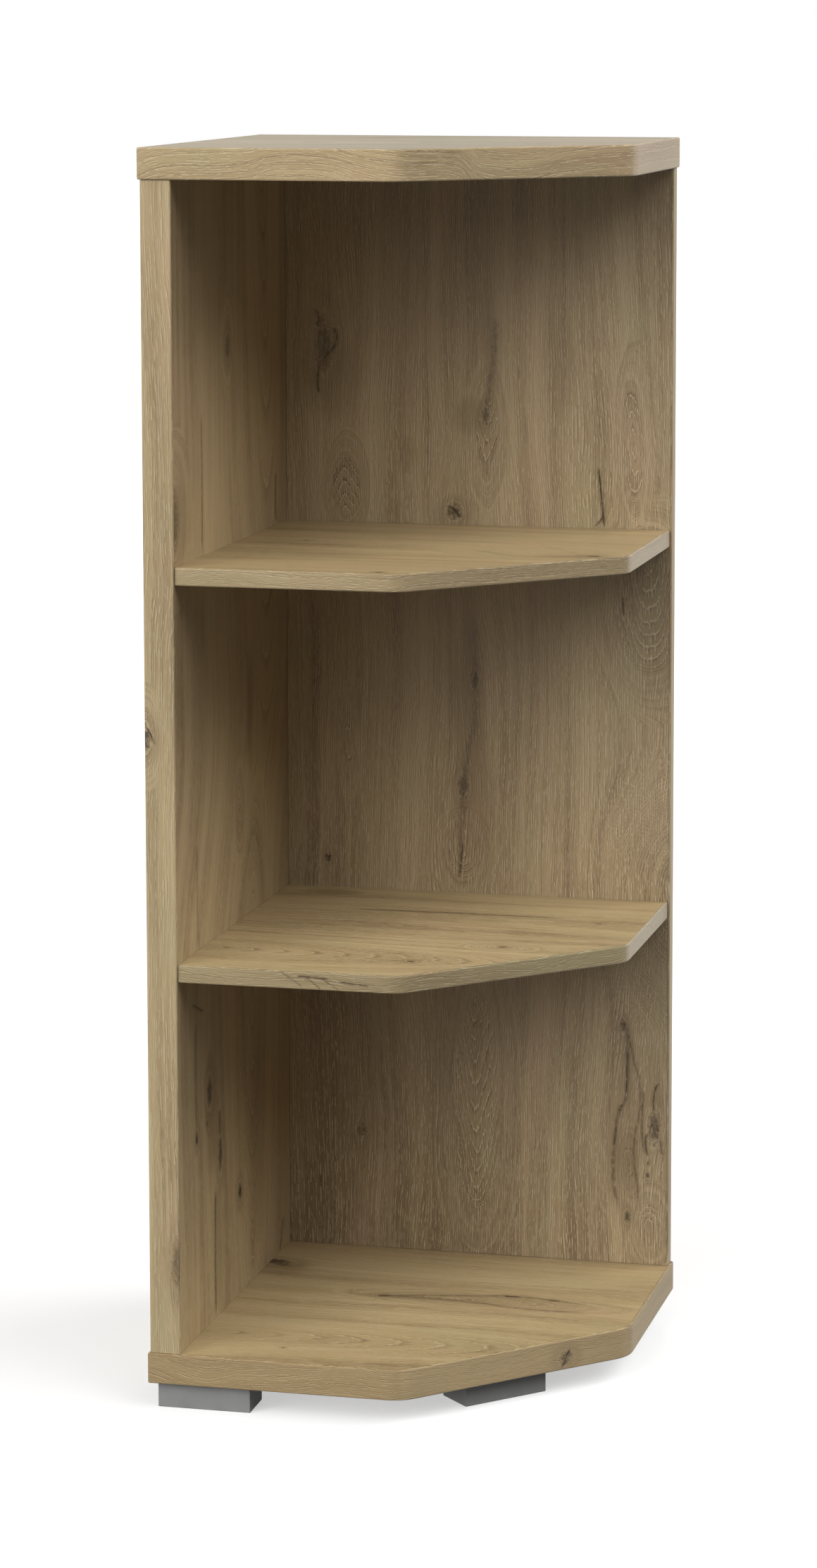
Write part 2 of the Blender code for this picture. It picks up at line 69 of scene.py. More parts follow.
class Value:
    """A node's output, with arithmetic that adds Math nodes."""

    def __init__(self, graph, socket):
        self.graph = graph
        self.socket = socket

    def math(self, operation, *numbers):
        return self.graph.node("Math", {"operation": operation}, dict(enumerate(numbers)))

    def __add__(self, other):
        return self.math("ADD", self, other)

    __radd__ = __add__

    def __sub__(self, other):
        return self.math("SUBTRACT", self, other)

    def __rsub__(self, other):
        return self.math("SUBTRACT", other, self)

    def __mul__(self, other):
        return self.math("MULTIPLY", self, other)

    __rmul__ = __mul__

    def __truediv__(self, other):
        return self.math("DIVIDE", self, other)

    def __abs__(self):
        return self.math("ABSOLUTE", self)

    def root(self):
        return self.math("SQRT", self)

    def fraction(self):
        return self.math("FRACT", self)

    def least(self, other):
        return self.math("MINIMUM", self, other)

    def most(self, other):
        return self.math("MAXIMUM", self, other)

    def swing(self, size):
        """Turns 0 to 1 into a swing of this size, half to each side of 0."""
        return (self - 0.5) * size

    def rise(self, low, high):
        """0 at low and 1 at high, with a smooth step between them; low may be the larger."""
        settings = {"interpolation_type": "SMOOTHSTEP"}
        return self.graph.node("MapRange", settings, {"Value": self, "From Min": low, "From Max": high})


class Graph:
    """A node tree, and short ways to add nodes to it."""

    def __init__(self, tree):
        self.tree = tree

    def node(self, kind, settings=None, inputs=None, output=0):
        """Shader nodes go by their short name, and all others by their full one."""
        made = self.tree.nodes.new(kind if "Node" in kind else "ShaderNode" + kind)
        for name, setting in (settings or {}).items():
            setattr(made, name, setting)
        for name, value in (inputs or {}).items():
            self.feed(made.inputs[name], value)
        return Value(self, made.outputs[output])

    def feed(self, socket, value):
        """Sets a socket, or links to it; a list is linked part by part."""
        if isinstance(value, Value):
            self.tree.links.new(value.socket, socket)
        elif isinstance(value, list):
            for part in value:
                self.feed(socket, part)
        else:
            socket.default_value = value

    def curve(self, travel, places, handles):
        """The height at travel of a curve through the places, smooth (AUTO) or with corners (VECTOR)."""
        height = self.node("FloatCurve", None, {"Value": travel})
        mapping = height.socket.node.mapping
        points = mapping.curves[0].points
        while len(points) < len(places):
            points.new(0.5, 0.5)
        for point, place in zip(points, places):
            point.location = place
            point.handle_type = handles
        mapping.update()
        return height

    def vector(self, x, y, z):
        return self.node("CombineXYZ", None, {0: x, 1: y, 2: z})

    def parts(self, vector):
        split = self.node("SeparateXYZ", None, {0: vector}).socket.node
        return [Value(self, part) for part in split.outputs]


class Paint(Graph):
    """A material and the nodes that give its colour, gloss and relief."""

    def __init__(self, name):
        self.material = bpy.data.materials.new(name)
        self.material.use_nodes = True
        super().__init__(self.material.node_tree)
        self.shader = self.tree.nodes["Principled BSDF"]

    def place(self, axes=(X, Y, Z)):
        """The point on the surface along these axes, in the shelf's own metres."""
        point = self.parts(self.node("TexCoord", output="Object"))
        return [point[axis] for axis in axes]

    def noise(self, x, y, z, detail=1.0, rough=0.5):
        inputs = {"Vector": self.vector(x, y, z), "Scale": 1.0, "Detail": detail, "Roughness": rough}
        return self.node("TexNoise", None, inputs)

    def even_noise(self, rate, detail=1.0, rough=0.5):
        """Noise with this many waves a metre, the same each way."""
        return self.noise(*(axis * rate for axis in self.place()), detail, rough)

    def blend(self, first, second, share):
        return self.node("Mix", {"data_type": "RGBA"}, {0: share, 6: first, 7: second}, 2)

    def ramp(self, share, stops):
        colour = self.node("ValToRGB", None, {0: share})
        elements = colour.socket.node.color_ramp.elements
        while len(elements) < len(stops):
            elements.new(1.0)
        for element, (place, shade) in zip(elements, stops):
            element.position = place
            element.color = shade
        return colour

    def bump(self, height, distance, strength):
        return self.node("Bump", None, {"Height": height, "Distance": distance, "Strength": strength})

    def finish(self, colour, roughness, normal, metallic=0.0):
        self.feed(self.shader.inputs["Base Color"], colour)
        self.feed(self.shader.inputs["Roughness"], roughness)
        self.feed(self.shader.inputs["Normal"], normal)
        self.feed(self.shader.inputs["Metallic"], metallic)
        return self.material


# Oak decor: its colours, before a board's tint

OAK_DARK = srgb(122, 104, 78)
OAK_MIDDLING = srgb(163, 144, 111)
OAK_PALE = srgb(184, 167, 134)
OAK_ROSE = srgb(178, 150, 122)
OAK_GREEN = srgb(157, 147, 112)
# Pale rosy grey: painted sheen, standing in for the white studio reflected by the bands' right end faces
SHEEN_GREY = srgb(196, 180, 166)
PORE_PALE = srgb(205, 190, 158)
PORE_DARK = srgb(104, 86, 62)
KNOT_DARK = srgb(46, 38, 30)
KNOT_BROWN = srgb(112, 92, 66)

# Noise in the wood: waves a metre across and along the grain, detail, roughness, and a shift of its own

NOISE = {
    "slow": (7.0, 2.0, 1.0, 0.5, 0.0),
    "middling": (45.0, 9.0, 1.0, 0.5, 0.0),
    "rough": (380.0, 170.0, 2.0, 0.6, 0.0),
    "crackle": (300.0, 190.0, 1.0, 0.6, 7.0),
    "jag": (800.0, 75.0, 0.0, 0.5, 0.0),
    "warp": (30.0, 1.6, 0.0, 0.5, 0.0),
    "fibre": (1500.0, 30.0, 1.0, 0.5, 0.0),
    "streak": (170.0, 3.0, 2.0, 0.6, 3.0),
    "broad": (38.0, 1.6, 1.0, 0.5, 9.0),
    "hue": (22.0, 5.0, 1.0, 0.5, 5.0),
}

# Rows of pores: rows a metre, waves a metre along them, the noise's shift, and how much more often they come

LONG_PORES = (450.0, 60.0, 0.0, 0.01)
SHORT_PORES = (780.0, 120.0, 2.0, 0.0)
PORE_ROW_STEP = 7.31

# Metres by which the grain sways in small waves, an eye's rings stray and a ring's edge is ragged

SMALL_WAVE = 0.006
EYE_STRAY = 0.014
RING_JAG = 0.0017

# Rings by which their spacing varies, and how strongly and how softly knots push the grain aside

RING_WARP = 2.4
KNOT_PUSH = 0.9
KNOT_CORE = 0.55

# The kinds of eye: closed rings, points, round arches or long round arches; a minus sign turns them down

CLOSED, POINTED, ROUND, LONG_ROUND = range(4)

# An eye's rings in a metre, how steeply they rise, where they start and are full, and their shape

EYE_RATE = 220.0
EYE_STEEP = 0.6
EYE_EDGE = (1.3, 0.6)
EYE_SPACING = 1.5
ARCH_SPACING = 1.3
BLUNT = 0.00001
ROUND_END = 1.5
LONG_ROUND_END = 0.24
LONG_ROUND_RISE = 0.6

# How strongly marks show: ring edges and brown rings where rings lie flat, rings in eyes, hues and pores

FLAT_PALE = 0.7
FLAT_BROWN = 0.35
NEST_BOLD = 0.28
ROSE_SHARE = 0.32
GREEN_SHARE = 0.4
LONG_DARK = 0.5
SHORT_DARK = 0.4
LONG_PALE = 0.5
SHORT_PALE = 0.38
MOST_PALE = 0.85

# How far each noise, and the brown of a ring, moves the tone; dark wood is at 0.1 and pale wood at 0.9

BROAD_TONE = 0.9
STREAK_TONE = 0.75
FIBRE_TONE = 0.5
SLOW_TONE = 0.5
BROWN_TONE = 0.9

# The relief's depth, in metres, and its strength

RELIEF_DEPTH = 0.0001
RELIEF_STRENGTH = 0.35


def tinted(colour, tint):
    return (*(level * share for level, share in zip(colour, tint)), 1.0)


def oval_square(u, v, middle, half_width, half_length):
    """The squared distance from a middle point, where the oval's edge is at 1."""
    step_across = (u - middle[0]) / half_width
    step_along = (v - middle[1]) / half_length
    return step_across * step_across + step_along * step_along


CURVE_MARGIN = 0.001


def curve_through(v, points, margin=0.0):
    """A smooth curve through (along, height) points: its height over a base, the base, and v's share."""
    start, end = points[0][0], points[-1][0]
    base = min(height for along, height in points) - margin
    span = max(height for along, height in points) + margin - base
    places = [((along - start) / (end - start), (height - base) / span) for along, height in points]
    travel = (v - start) / (end - start)
    return v.graph.curve(travel, places, "AUTO") * span, base, travel


def line_gap(u, v, points):
    """How far a spot is from a line through points that run along v, and how far along that line it is."""
    spots = sorted((along, across) for across, along in points)
    bend, side, travel = curve_through(v, spots, CURVE_MARGIN)
    return abs(u - (bend + side)), travel


def between(first, second, share):
    return tuple(low + (high - low) * share for low, high in zip(first, second))


class Grain:
    """The wood at a spot: u runs across the grain, v along it and w through the board."""

    def __init__(self, u, v, w, seed):
        self.paint = u.graph
        self.u, self.v, self.w = u, v, w
        self.seed = seed
        self.slow = self.noise("slow")
        self.middling = self.noise("middling")
        self.rough = self.noise("rough")
        self.crackle = self.noise("crackle")
        self.jag = self.noise("jag")

    def noise(self, kind, across=None):
        """Noise of a kind listed in NOISE; across takes the place of u."""
        rate, rate_along, detail, rough, shift = NOISE[kind]
        across = self.u if across is None else across
        deep = self.w * rate + self.seed + shift
        return self.paint.noise(across * rate, self.v * rate_along, deep, detail, rough)

    def grow(self, growth, wave, bend, knots, eyes):
        """Lays the growth rings: they sway, pass round knots and nest in eyes."""
        self.bent = self.u + self.slow.swing(wave) + self.middling.swing(SMALL_WAVE) - bend
        self.knot_squares = []
        for middle, radius, stretch, depth in knots:
            square = oval_square(self.u, self.v, middle, radius, radius * stretch)
            self.knot_squares.append(square)
            self.bent = self.bent - (self.u - middle[0]) * KNOT_PUSH / (square + KNOT_CORE)
        self.rings, self.steep, self.rate = growth(self.bent, self.v)
        self.nest = 0.0
        for eye in eyes:
            nested, share = self.eye(*eye)
            self.rings = self.rings + (nested - self.rings) * share
            self.steep = self.steep + (EYE_STEEP - self.steep) * share
            self.rate = self.rate + (EYE_RATE - self.rate) * share
            self.nest = share.most(self.nest)

    def eye(self, middle, half_width, half_length, kind):
        """The ring distance in an eye, and 1 inside the eye and 0 outside it."""
        astray = self.u + self.middling.swing(EYE_STRAY)
        reach = oval_square(astray, self.v, middle, half_width, half_length).root()
        share = reach.rise(*EYE_EDGE)
        if kind == CLOSED:
            return reach * (half_width * EYE_SPACING), share
        across = astray - middle[0]
        rise = (self.v - middle[1]) * (half_width / half_length)
        if abs(kind) == POINTED:
            return (across * across + BLUNT).root() + rise * kind, share
        stretch = ROUND_END
        if abs(kind) == LONG_ROUND:
            stretch = LONG_ROUND_END
            rise = rise + math.copysign(half_width * LONG_ROUND_RISE, kind)
        end = rise.most(0.0) if kind > 0 else rise.least(0.0)
        return (across * across + end * end * stretch + BLUNT).root() * ARCH_SPACING, share

    def ring_marks(self, bold):
        """How far a spot is through its ring, the ring's pale edge, and the brown wood after it."""
        warp = self.noise("warp", self.rings)
        turn = ((self.rings + self.jag.swing(RING_JAG)) * self.rate + warp.swing(RING_WARP)).fraction()
        edge = turn.least(1.0 - turn)
        flat = 1.0 - self.steep
        nested = self.nest * NEST_BOLD
        broken = self.jag.rise(0.3, 0.5) * 0.6 + 0.4
        edge_end = 0.02 + self.steep * self.rate * 0.0005
        pale = edge.rise(edge_end, 0.01) * (bold + flat * FLAT_PALE + nested)
        brown = turn.rise(0.40, 0.08) * (bold * 0.6 + flat * FLAT_BROWN + nested)
        return turn, pale * broken, brown

    def pores(self, kind, across, fine, short, chance):
        """Short dashes in rows: 1 in each pale core, and 1 on the dark edge beside it."""
        rate, length_rate, shift, more = kind
        place = across * (rate * fine)
        row = place.math("FLOOR", place)
        offset = place - row - 0.5
        dashes = self.paint.noise(row * PORE_ROW_STEP, self.v * (length_rate * short), self.seed + shift)
        there = (dashes + (chance + more)).rise(0.5, 0.58)
        core = abs(offset + 0.14).rise(0.26, 0.05)
        shade = abs(offset - 0.22).rise(0.22, 0.03)
        return core * there, shade * there

    def add_smudges(self, colour, smudges):
        astray = self.u + self.middling.swing(0.02)
        for middle, half_width, half_length, depth in smudges:
            share = oval_square(astray, self.v, middle, half_width, half_length).rise(1.6, 0.0)
            colour = self.paint.blend(colour, KNOT_BROWN, share * ((self.rough * 0.5 + 0.75) * depth))
        return colour

    def add_knots(self, colour, knots, pale):
        """Each knot has a brown halo, a pale rim, a cracked ring and a dark heart."""
        blend = self.paint.blend
        split = abs(self.crackle - 0.5).rise(0.05, 0.008)
        for (middle, radius, stretch, depth), square in zip(knots, self.knot_squares):
            edge = square + self.rough.swing(1.8)
            halo = square.rise(6.0, 0.4)
            rim = edge.rise(0.75, 1.1) * edge.rise(1.6, 1.15)
            cracked = edge.rise(1.25, 0.7) * split
            heart = edge.rise(0.55, 0.05)
            colour = blend(colour, KNOT_BROWN, halo * (0.5 * depth))
            colour = blend(colour, pale, rim * (0.3 * depth))
            colour = blend(colour, KNOT_DARK, cracked * (0.9 * depth))
            colour = blend(colour, KNOT_DARK, heart * depth)
        return colour

    def add_lines(self, colour, lines):
        """Each crack or streak has a brown border and a dark core, and thins out at its ends."""
        blend = self.paint.blend
        for points, width, depth in lines:
            gap, travel = line_gap(self.u, self.v, points)
            ends = travel.rise(0.0, 0.12) * travel.rise(1.0, 0.88)
            frayed = gap + self.rough.swing(width * 1.6)
            border = frayed.rise(width * 3.2, width * 0.5) * ends
            core = frayed.rise(width, width * 0.2) * ends
            colour = blend(colour, KNOT_BROWN, border * (depth * 0.55))
            colour = blend(colour, KNOT_DARK, core * (self.crackle.rise(0.2, 0.55) * depth))
        return colour


def oak(grain, growth, knots=(), lines=(), eyes=(), smudges=(), wave=0.05, fine=1.0, bold=0.2, contrast=1.0,
        streaky=1.0, short=1.0, tint=(1.0, 1.0, 1.0), tone=0.0, bend=0.0, bleached=0.0):
    """Limed oak. growth gives the ring distance, how steeply it rises and the rings in a metre. wave and
    bend push the grain aside, in metres. fine and short make the pores finer and shorter. bold, contrast and
    streaky are how strongly rings, pores and streaks show. tone makes the wood paler, and the share of pale
    rosy grey paints a sheen, reflected light on a face."""
    paint = grain.paint
    grain.grow(growth, wave, bend, knots, eyes)
    turn, ring_pale, ring_brown = grain.ring_marks(bold)
    lively = grain.bent + grain.middling.swing(0.004)
    early = turn.rise(0.7, 0.2).swing(0.10)
    long_pale, long_dark = grain.pores(LONG_PORES, lively, fine, short, early)
    short_pale, short_dark = grain.pores(SHORT_PORES, lively + 0.5, fine, short, early)

    fibre = grain.noise("fibre", grain.u * fine)
    broad = grain.noise("broad", grain.rings)
    streak = grain.noise("streak", grain.rings)
    level = 0.5 + (broad.swing(BROAD_TONE) + streak.swing(STREAK_TONE)) * streaky + fibre.swing(FIBRE_TONE)
    level = level + grain.slow.swing(SLOW_TONE) - ring_brown * BROWN_TONE + tone
    wood = [(0.1, OAK_DARK), (0.5, OAK_MIDDLING), (0.9, OAK_PALE)]
    colour = paint.ramp(level, [(place, tinted(shade, tint)) for place, shade in wood])
    hue = grain.noise("hue", grain.bent)
    colour = paint.blend(colour, tinted(OAK_ROSE, tint), hue.rise(0.54, 0.75) * ROSE_SHARE)
    colour = paint.blend(colour, tinted(OAK_GREEN, tint), hue.rise(0.46, 0.25) * GREEN_SHARE)
    colour = paint.blend(colour, SHEEN_GREY, bleached)

    pore_pale = tinted(PORE_PALE, tint)
    low_marks = (long_dark * LONG_DARK + short_dark * SHORT_DARK) * contrast
    high_marks = (long_pale * LONG_PALE + short_pale * SHORT_PALE) * contrast + ring_pale
    colour = paint.blend(colour, tinted(PORE_DARK, tint), low_marks)
    colour = paint.blend(colour, pore_pale, high_marks.least(MOST_PALE))
    colour = grain.add_smudges(colour, smudges)
    colour = grain.add_knots(colour, knots, pore_pale)
    colour = grain.add_lines(colour, lines)

    roughness = fibre.swing(0.1) + 0.4 + long_pale * 0.06
    relief = fibre.swing(0.5) - long_dark * 0.6 - short_dark * 0.4
    return paint.finish(colour, roughness, paint.bump(relief, RELIEF_DEPTH, RELIEF_STRENGTH))


# How the growth rings of each board run: rings in a metre, and how steeply they rise at least

RING_RATE = 135.0
LEAST_STEEP = 0.15


def arches(middle_u, middle_v, slope, rate=RING_RATE):
    """Long ovals round a middle: the ring distance, how steeply it rises, and the rings in a metre."""
    def growth(u, v):
        across = u - middle_u
        along = (v - middle_v) * slope
        rings = (across * across + along * along).root()
        steep = ((across * across + along * along * (slope * slope)).root() / rings).most(LEAST_STEEP)
        return rings, steep, rate

    return growth


def passing(first, second, axis, low, high):
    """Rings that pass from the first growth to the second, from low to high across or along the grain."""
    def growth(*place):
        return between(first(*place), second(*place), place[axis].rise(low, high))

    return growth


def straight_growth(u, v):
    return u, 1.0, RING_RATE


ACROSS, ALONG = range(2)
BACK_GROWTH = arches(0.34, 0.3, 0.03, 220.0)
SIDE_GROWTH = passing(arches(0.0435, 0.55, 0.12, 230.0), arches(0.1, 1.3, 0.1, 170.0), ALONG, 0.35, 0.62)
BOTTOM_GROWTH = passing(arches(-0.117, -0.27, 0.13, 230.0), arches(0.26, 0.1, 0.16), ACROSS, -0.07, 0.05)
LOWER_GROWTH = passing(arches(-0.117, -0.24, 0.16, 230.0), arches(0.3, 0.2, 0.1), ACROSS, -0.08, 0.02)
UPPER_GROWTH = arches(0.35, 0.1, 0.25)
TOP_GROWTH = arches(-0.02, -0.9, 0.06, 160.0)

# Knots, eyes and smudges: middle (across, along), half width, half length or a knot's stretch, and how dark
# or the kind of eye. Lines: points (across, along), half width and how dark. Marks of hidden faces stand
# HIDDEN_SHIFT further across.

BACK_KNOTS = [
    ((-0.1365, 0.934), 0.011, 2.6, 0.45),
    ((-0.009, 0.7765), 0.0085, 1.0, 0.7),
    ((0.022, 0.868), 0.0045, 2.0, 0.5),
    ((0.011, 0.616), 0.0045, 2.2, 0.55),
    ((0.0, 0.511), 0.006, 2.2, 0.5),
    ((-0.134, 0.437), 0.004, 1.3, 0.6),
    ((-0.1015, 0.168), 0.006, 1.6, 0.35),
    ((0.188, 0.187), 0.0075, 2.6, 0.6),
    ((0.182, 0.1521), 0.0016, 1.3, 0.7),
    ((0.1813, 0.1398), 0.0024, 1.3, 0.7),
    ((0.157, 0.285), 0.0035, 2.2, 0.6),
    ((0.162, 0.098), 0.0035, 2.0, 0.7),
    ((0.985, 0.845), 0.0065, 1.8, 0.75),
    ((0.862, 0.52), 0.005, 1.6, 0.6),
    ((1.02, 0.235), 0.0035, 1.4, 0.8),
]
BACK_LINES = [
    ([(-0.146, 0.969), (-0.141, 0.957), (-0.1425, 0.952), (-0.126, 0.949), (-0.124, 0.938), (-0.134, 0.923),
      (-0.139, 0.915)], 0.0016, 0.75),
    ([(-0.139, 0.917), (-0.1425, 0.9), (-0.141, 0.886)], 0.0013, 0.75),
    ([(-0.0155, 0.7825), (-0.009, 0.7785), (-0.0025, 0.7705)], 0.0018, 1.0),
    ([(0.031, 0.964), (0.03, 0.93), (0.026, 0.9), (0.022, 0.864)], 0.004, 0.35),
    ([(0.131, 0.824), (0.134, 0.795), (0.137, 0.764)], 0.0013, 0.95),
    ([(0.128, 0.7655), (0.136, 0.775)], 0.001, 0.9),
    ([(0.155, 0.7), (0.1555, 0.681)], 0.0012, 0.8),
    ([(0.01, 0.686), (0.012, 0.583), (0.005, 0.548), (0.001, 0.51), (-0.004, 0.421)], 0.005, 0.32),
    ([(0.0, 0.458), (-0.004, 0.421)], 0.001, 0.8),
    ([(-0.1425, 0.122), (-0.1435, 0.108)], 0.0011, 0.7),
    ([(0.986, 0.93), (0.983, 0.87), (0.986, 0.82), (0.992, 0.74)], 0.0026, 0.5),
    ([(0.858, 0.59), (0.861, 0.53), (0.859, 0.44)], 0.002, 0.5),
    ([(0.158, 0.298), (0.1619, 0.2554), (0.1605, 0.2178), (0.155, 0.204), (0.1501, 0.1834), (0.1481, 0.1389),
      (0.1515, 0.1151), (0.1605, 0.1003)], 0.0028, 0.5),
    ([(0.1615, 0.262), (0.1605, 0.218)], 0.0008, 0.85),
    ([(0.1562, 0.2085), (0.154, 0.2015)], 0.0013, 0.95),
    ([(0.151, 0.19), (0.1485, 0.165)], 0.0008, 0.8),
    ([(0.158, 0.298), (0.168, 0.25), (0.174, 0.22), (0.168, 0.16), (0.172, 0.12), (0.163, 0.096)],
     0.0016, 0.45),
    ([(0.178, 0.225), (0.176, 0.195), (0.178, 0.16)], 0.0014, 0.55),
    ([(0.1925, 0.232), (0.187, 0.214), (0.1885, 0.202)], 0.0012, 0.8),
    ([(0.182, 0.182), (0.1795, 0.172), (0.1825, 0.158)], 0.0012, 0.8),
    ([(0.1935, 0.176), (0.196, 0.16)], 0.001, 0.65),
]
BACK_EYES = [
    ((0.222, 0.415), 0.09, 0.13, CLOSED),
    ((0.18, 0.69), 0.05, 0.09, -LONG_ROUND),
    ((0.1635, 0.845), 0.017, 0.08, CLOSED),
    ((0.0235, 0.85), 0.016, 0.06, -POINTED),
    ((-0.114, 0.8), 0.018, 0.045, POINTED),
    ((-0.114, 0.55), 0.009, 0.048, CLOSED),
    ((-0.0015, 0.445), 0.024, 0.04, -ROUND),
    ((0.014, 0.205), 0.036, 0.16, -POINTED),
    ((0.1635, 0.152), 0.0095, 0.032, CLOSED),
    ((0.184, 0.092), 0.019, 0.036, ROUND),
]
BACK_SMUDGES = [
    ((0.005, 0.868), 0.018, 0.018, 0.35),
    ((-0.054, 0.829), 0.012, 0.018, 0.25),
    ((0.096, 0.917), 0.016, 0.05, 0.25),
    ((0.024, 0.935), 0.008, 0.06, 0.25),
    ((-0.13, 0.9), 0.03, 0.04, 0.25),
    ((0.188, 0.225), 0.01, 0.045, 0.3),
    ((0.005, 0.56), 0.016, 0.13, 0.35),
    ((0.158, 0.19), 0.014, 0.1, 0.3),
    ((0.1635, 0.152), 0.008, 0.03, 0.35),
    ((-0.09, 0.25), 0.03, 0.12, 0.15),
    ((0.02, 0.5), 0.01, 0.08, 0.25),
]
SIDE_KNOTS = [
    ((-0.02, 0.946), 0.008, 1.6, 0.55),
    ((-0.192, 0.805), 0.02, 1.6, 0.5),
    ((0.0095, 0.513), 0.006, 1.6, 0.15),
    ((-0.1365, 0.2357), 0.005, 1.6, 1.0),
    ((-0.1039, 0.2417), 0.0035, 1.3, 0.8),
    ((-0.0951, 0.2696), 0.0095, 1.7, 0.9),
    ((-0.0617, 0.2027), 0.008, 2.4, 0.85),
    ((0.0022, 0.1491), 0.007, 1.5, 1.0),
    ((0.815, 0.905), 0.006, 1.8, 0.8),
    ((0.972, 0.61), 0.008, 1.9, 0.7),
    ((0.842, 0.27), 0.004, 1.4, 0.85),
]
SIDE_LINES = [
    ([(-0.105, 0.895), (-0.104, 0.83), (-0.106, 0.765)], 0.0024, 0.45),
    ([(0.141, 0.815), (0.139, 0.79), (0.141, 0.765)], 0.002, 0.8),
    ([(-0.13, 0.51), (-0.128, 0.41)], 0.003, 0.3),
    ([(-0.078, 0.176), (-0.08, 0.12), (-0.079, 0.052)], 0.003, 0.75),
    ([(-0.064, 0.245), (-0.062, 0.22)], 0.003, 0.8),
    ([(-0.137, 0.345), (-0.139, 0.3), (-0.137, 0.245)], 0.003, 0.6),
    ([(-0.114, 0.348), (-0.13, 0.355), (-0.1475, 0.362)], 0.003, 0.9),
    ([(0.153, 0.085), (0.145, 0.065), (0.139, 0.052)], 0.0026, 0.65),
    ([(0.97, 0.72), (0.974, 0.65), (0.971, 0.59), (0.978, 0.48)], 0.0024, 0.5),
    ([(0.812, 0.99), (0.816, 0.93), (0.813, 0.86)], 0.002, 0.5),
]
SIDE_EYES = [
    ((-0.02, 0.95), 0.022, 0.045, CLOSED),
    ((-0.192, 0.805), 0.04, 0.07, CLOSED),
    ((0.0095, 0.512), 0.016, 0.04, -POINTED),
    ((0.0435, 0.095), 0.012, 0.045, -POINTED),
    ((-0.0951, 0.266), 0.016, 0.035, CLOSED),
]
SIDE_SMUDGES = [
    ((0.0475, 0.6), 0.01, 0.055, 0.55),
    ((-0.1035, 0.7), 0.008, 0.03, 0.3),
    ((0.0, 0.89), 0.012, 0.06, 0.25),
    ((-0.175, 0.8), 0.03, 0.04, 0.35),
    ((-0.09, 0.245), 0.018, 0.06, 0.45),
    ((0.06, 0.2), 0.03, 0.11, 0.35),
    ((-0.065, 0.12), 0.01, 0.06, 0.3),
]
BOTTOM_KNOTS = [
    ((0.1073, -0.171), 0.01, 2.0, 0.85),
    ((0.098, -0.16), 0.004, 3.0, 0.6),
    ((0.046, 0.078), 0.004, 2.8, 0.85),
    ((0.0415, 0.119), 0.0035, 2.0, 0.6),
    ((0.022, -0.04), 0.0035, 2.8, 0.7),
    ((-0.153, -0.089), 0.002, 1.2, 0.6),
]
BOTTOM_LINES = [
    ([(0.022, -0.045), (0.03, -0.01), (0.036, 0.02), (0.042, 0.05), (0.047, 0.08), (0.043, 0.12),
      (0.026, 0.16)], 0.0022, 0.45),
    ([(0.022, -0.045), (0.024, 0.0), (0.02, 0.05), (0.011, 0.092), (0.01, 0.13), (0.022, 0.161)],
     0.0022, 0.5),
]
BOTTOM_EYES = [
    ((0.028, 0.06), 0.022, 0.12, CLOSED),
]
BOTTOM_SMUDGES = [
    ((0.028, 0.06), 0.022, 0.11, 0.22),
    ((0.02, -0.02), 0.008, 0.05, 0.25),
    ((0.085, -0.16), 0.02, 0.03, 0.35),
]
LOWER_KNOTS = [
    ((0.066, 0.1555), 0.003, 1.5, 0.55),
    ((-0.052, 0.0905), 0.007, 1.6, 0.35),
    ((-0.129, 0.024), 0.0035, 1.4, 0.8),
    ((-0.1, 0.007), 0.002, 1.4, 0.45),
]
LOWER_LINES = [
    ([(0.08, -0.092), (0.082, -0.02), (0.083, 0.03), (0.081, 0.125)], 0.0026, 0.6),
]
LOWER_EYES = [((-0.052, 0.0905), 0.016, 0.036, CLOSED)]
LOWER_SMUDGES = [
    ((0.155, -0.12), 0.014, 0.03, 0.5),
    ((0.082, 0.0), 0.006, 0.07, 0.3),
]
UPPER_KNOTS = [
    ((-0.029, 0.1685), 0.0055, 1.6, 0.75),
    ((0.0275, -0.114), 0.0035, 1.4, 0.45),
    ((-0.179, 0.008), 0.0035, 1.3, 0.85),
]
UPPER_LINES = [
    ([(0.066, -0.055), (0.055, -0.01), (0.052, 0.03), (0.045, 0.09)], 0.0024, 0.3),
    ([(-0.004, 0.045), (-0.02, 0.07), (-0.042, 0.1), (-0.044, 0.125), (-0.036, 0.155), (-0.029, 0.172)],
     0.003, 0.22),
    ([(0.048, 0.105), (0.034, 0.11), (0.01, 0.13), (-0.02, 0.16), (-0.028, 0.176)], 0.0026, 0.16),
]
UPPER_EYES = [((-0.01, 0.12), 0.045, 0.08, -POINTED)]
UPPER_SMUDGES = [((-0.075, -0.06), 0.022, 0.045, 0.22), ((-0.036, 0.15), 0.012, 0.035, 0.35)]
TOP_KNOTS = [((0.118, -0.062), 0.006, 2.2, 0.7), ((0.131, -0.01), 0.0025, 1.4, 0.6)]
TOP_LINES = [
    ([(0.112, -0.13), (0.117, -0.08), (0.121, -0.04), (0.133, 0.03), (0.136, 0.09)], 0.0022, 0.45),
]
TOP_SMUDGES = [((0.12, -0.05), 0.016, 0.09, 0.3)]

# How far across a hidden face's marks are, how much tone a board's foot loses in a metre, and where painted
# shade starts near a board's head and how much tone it takes in a metre, standing in for the shade under the
# top panel

HIDDEN_SHIFT = 0.9
DARK_FOOT = 0.53
PAINTED_SHADE_START = 0.95
PAINTED_SHADE_RATE = 1.2


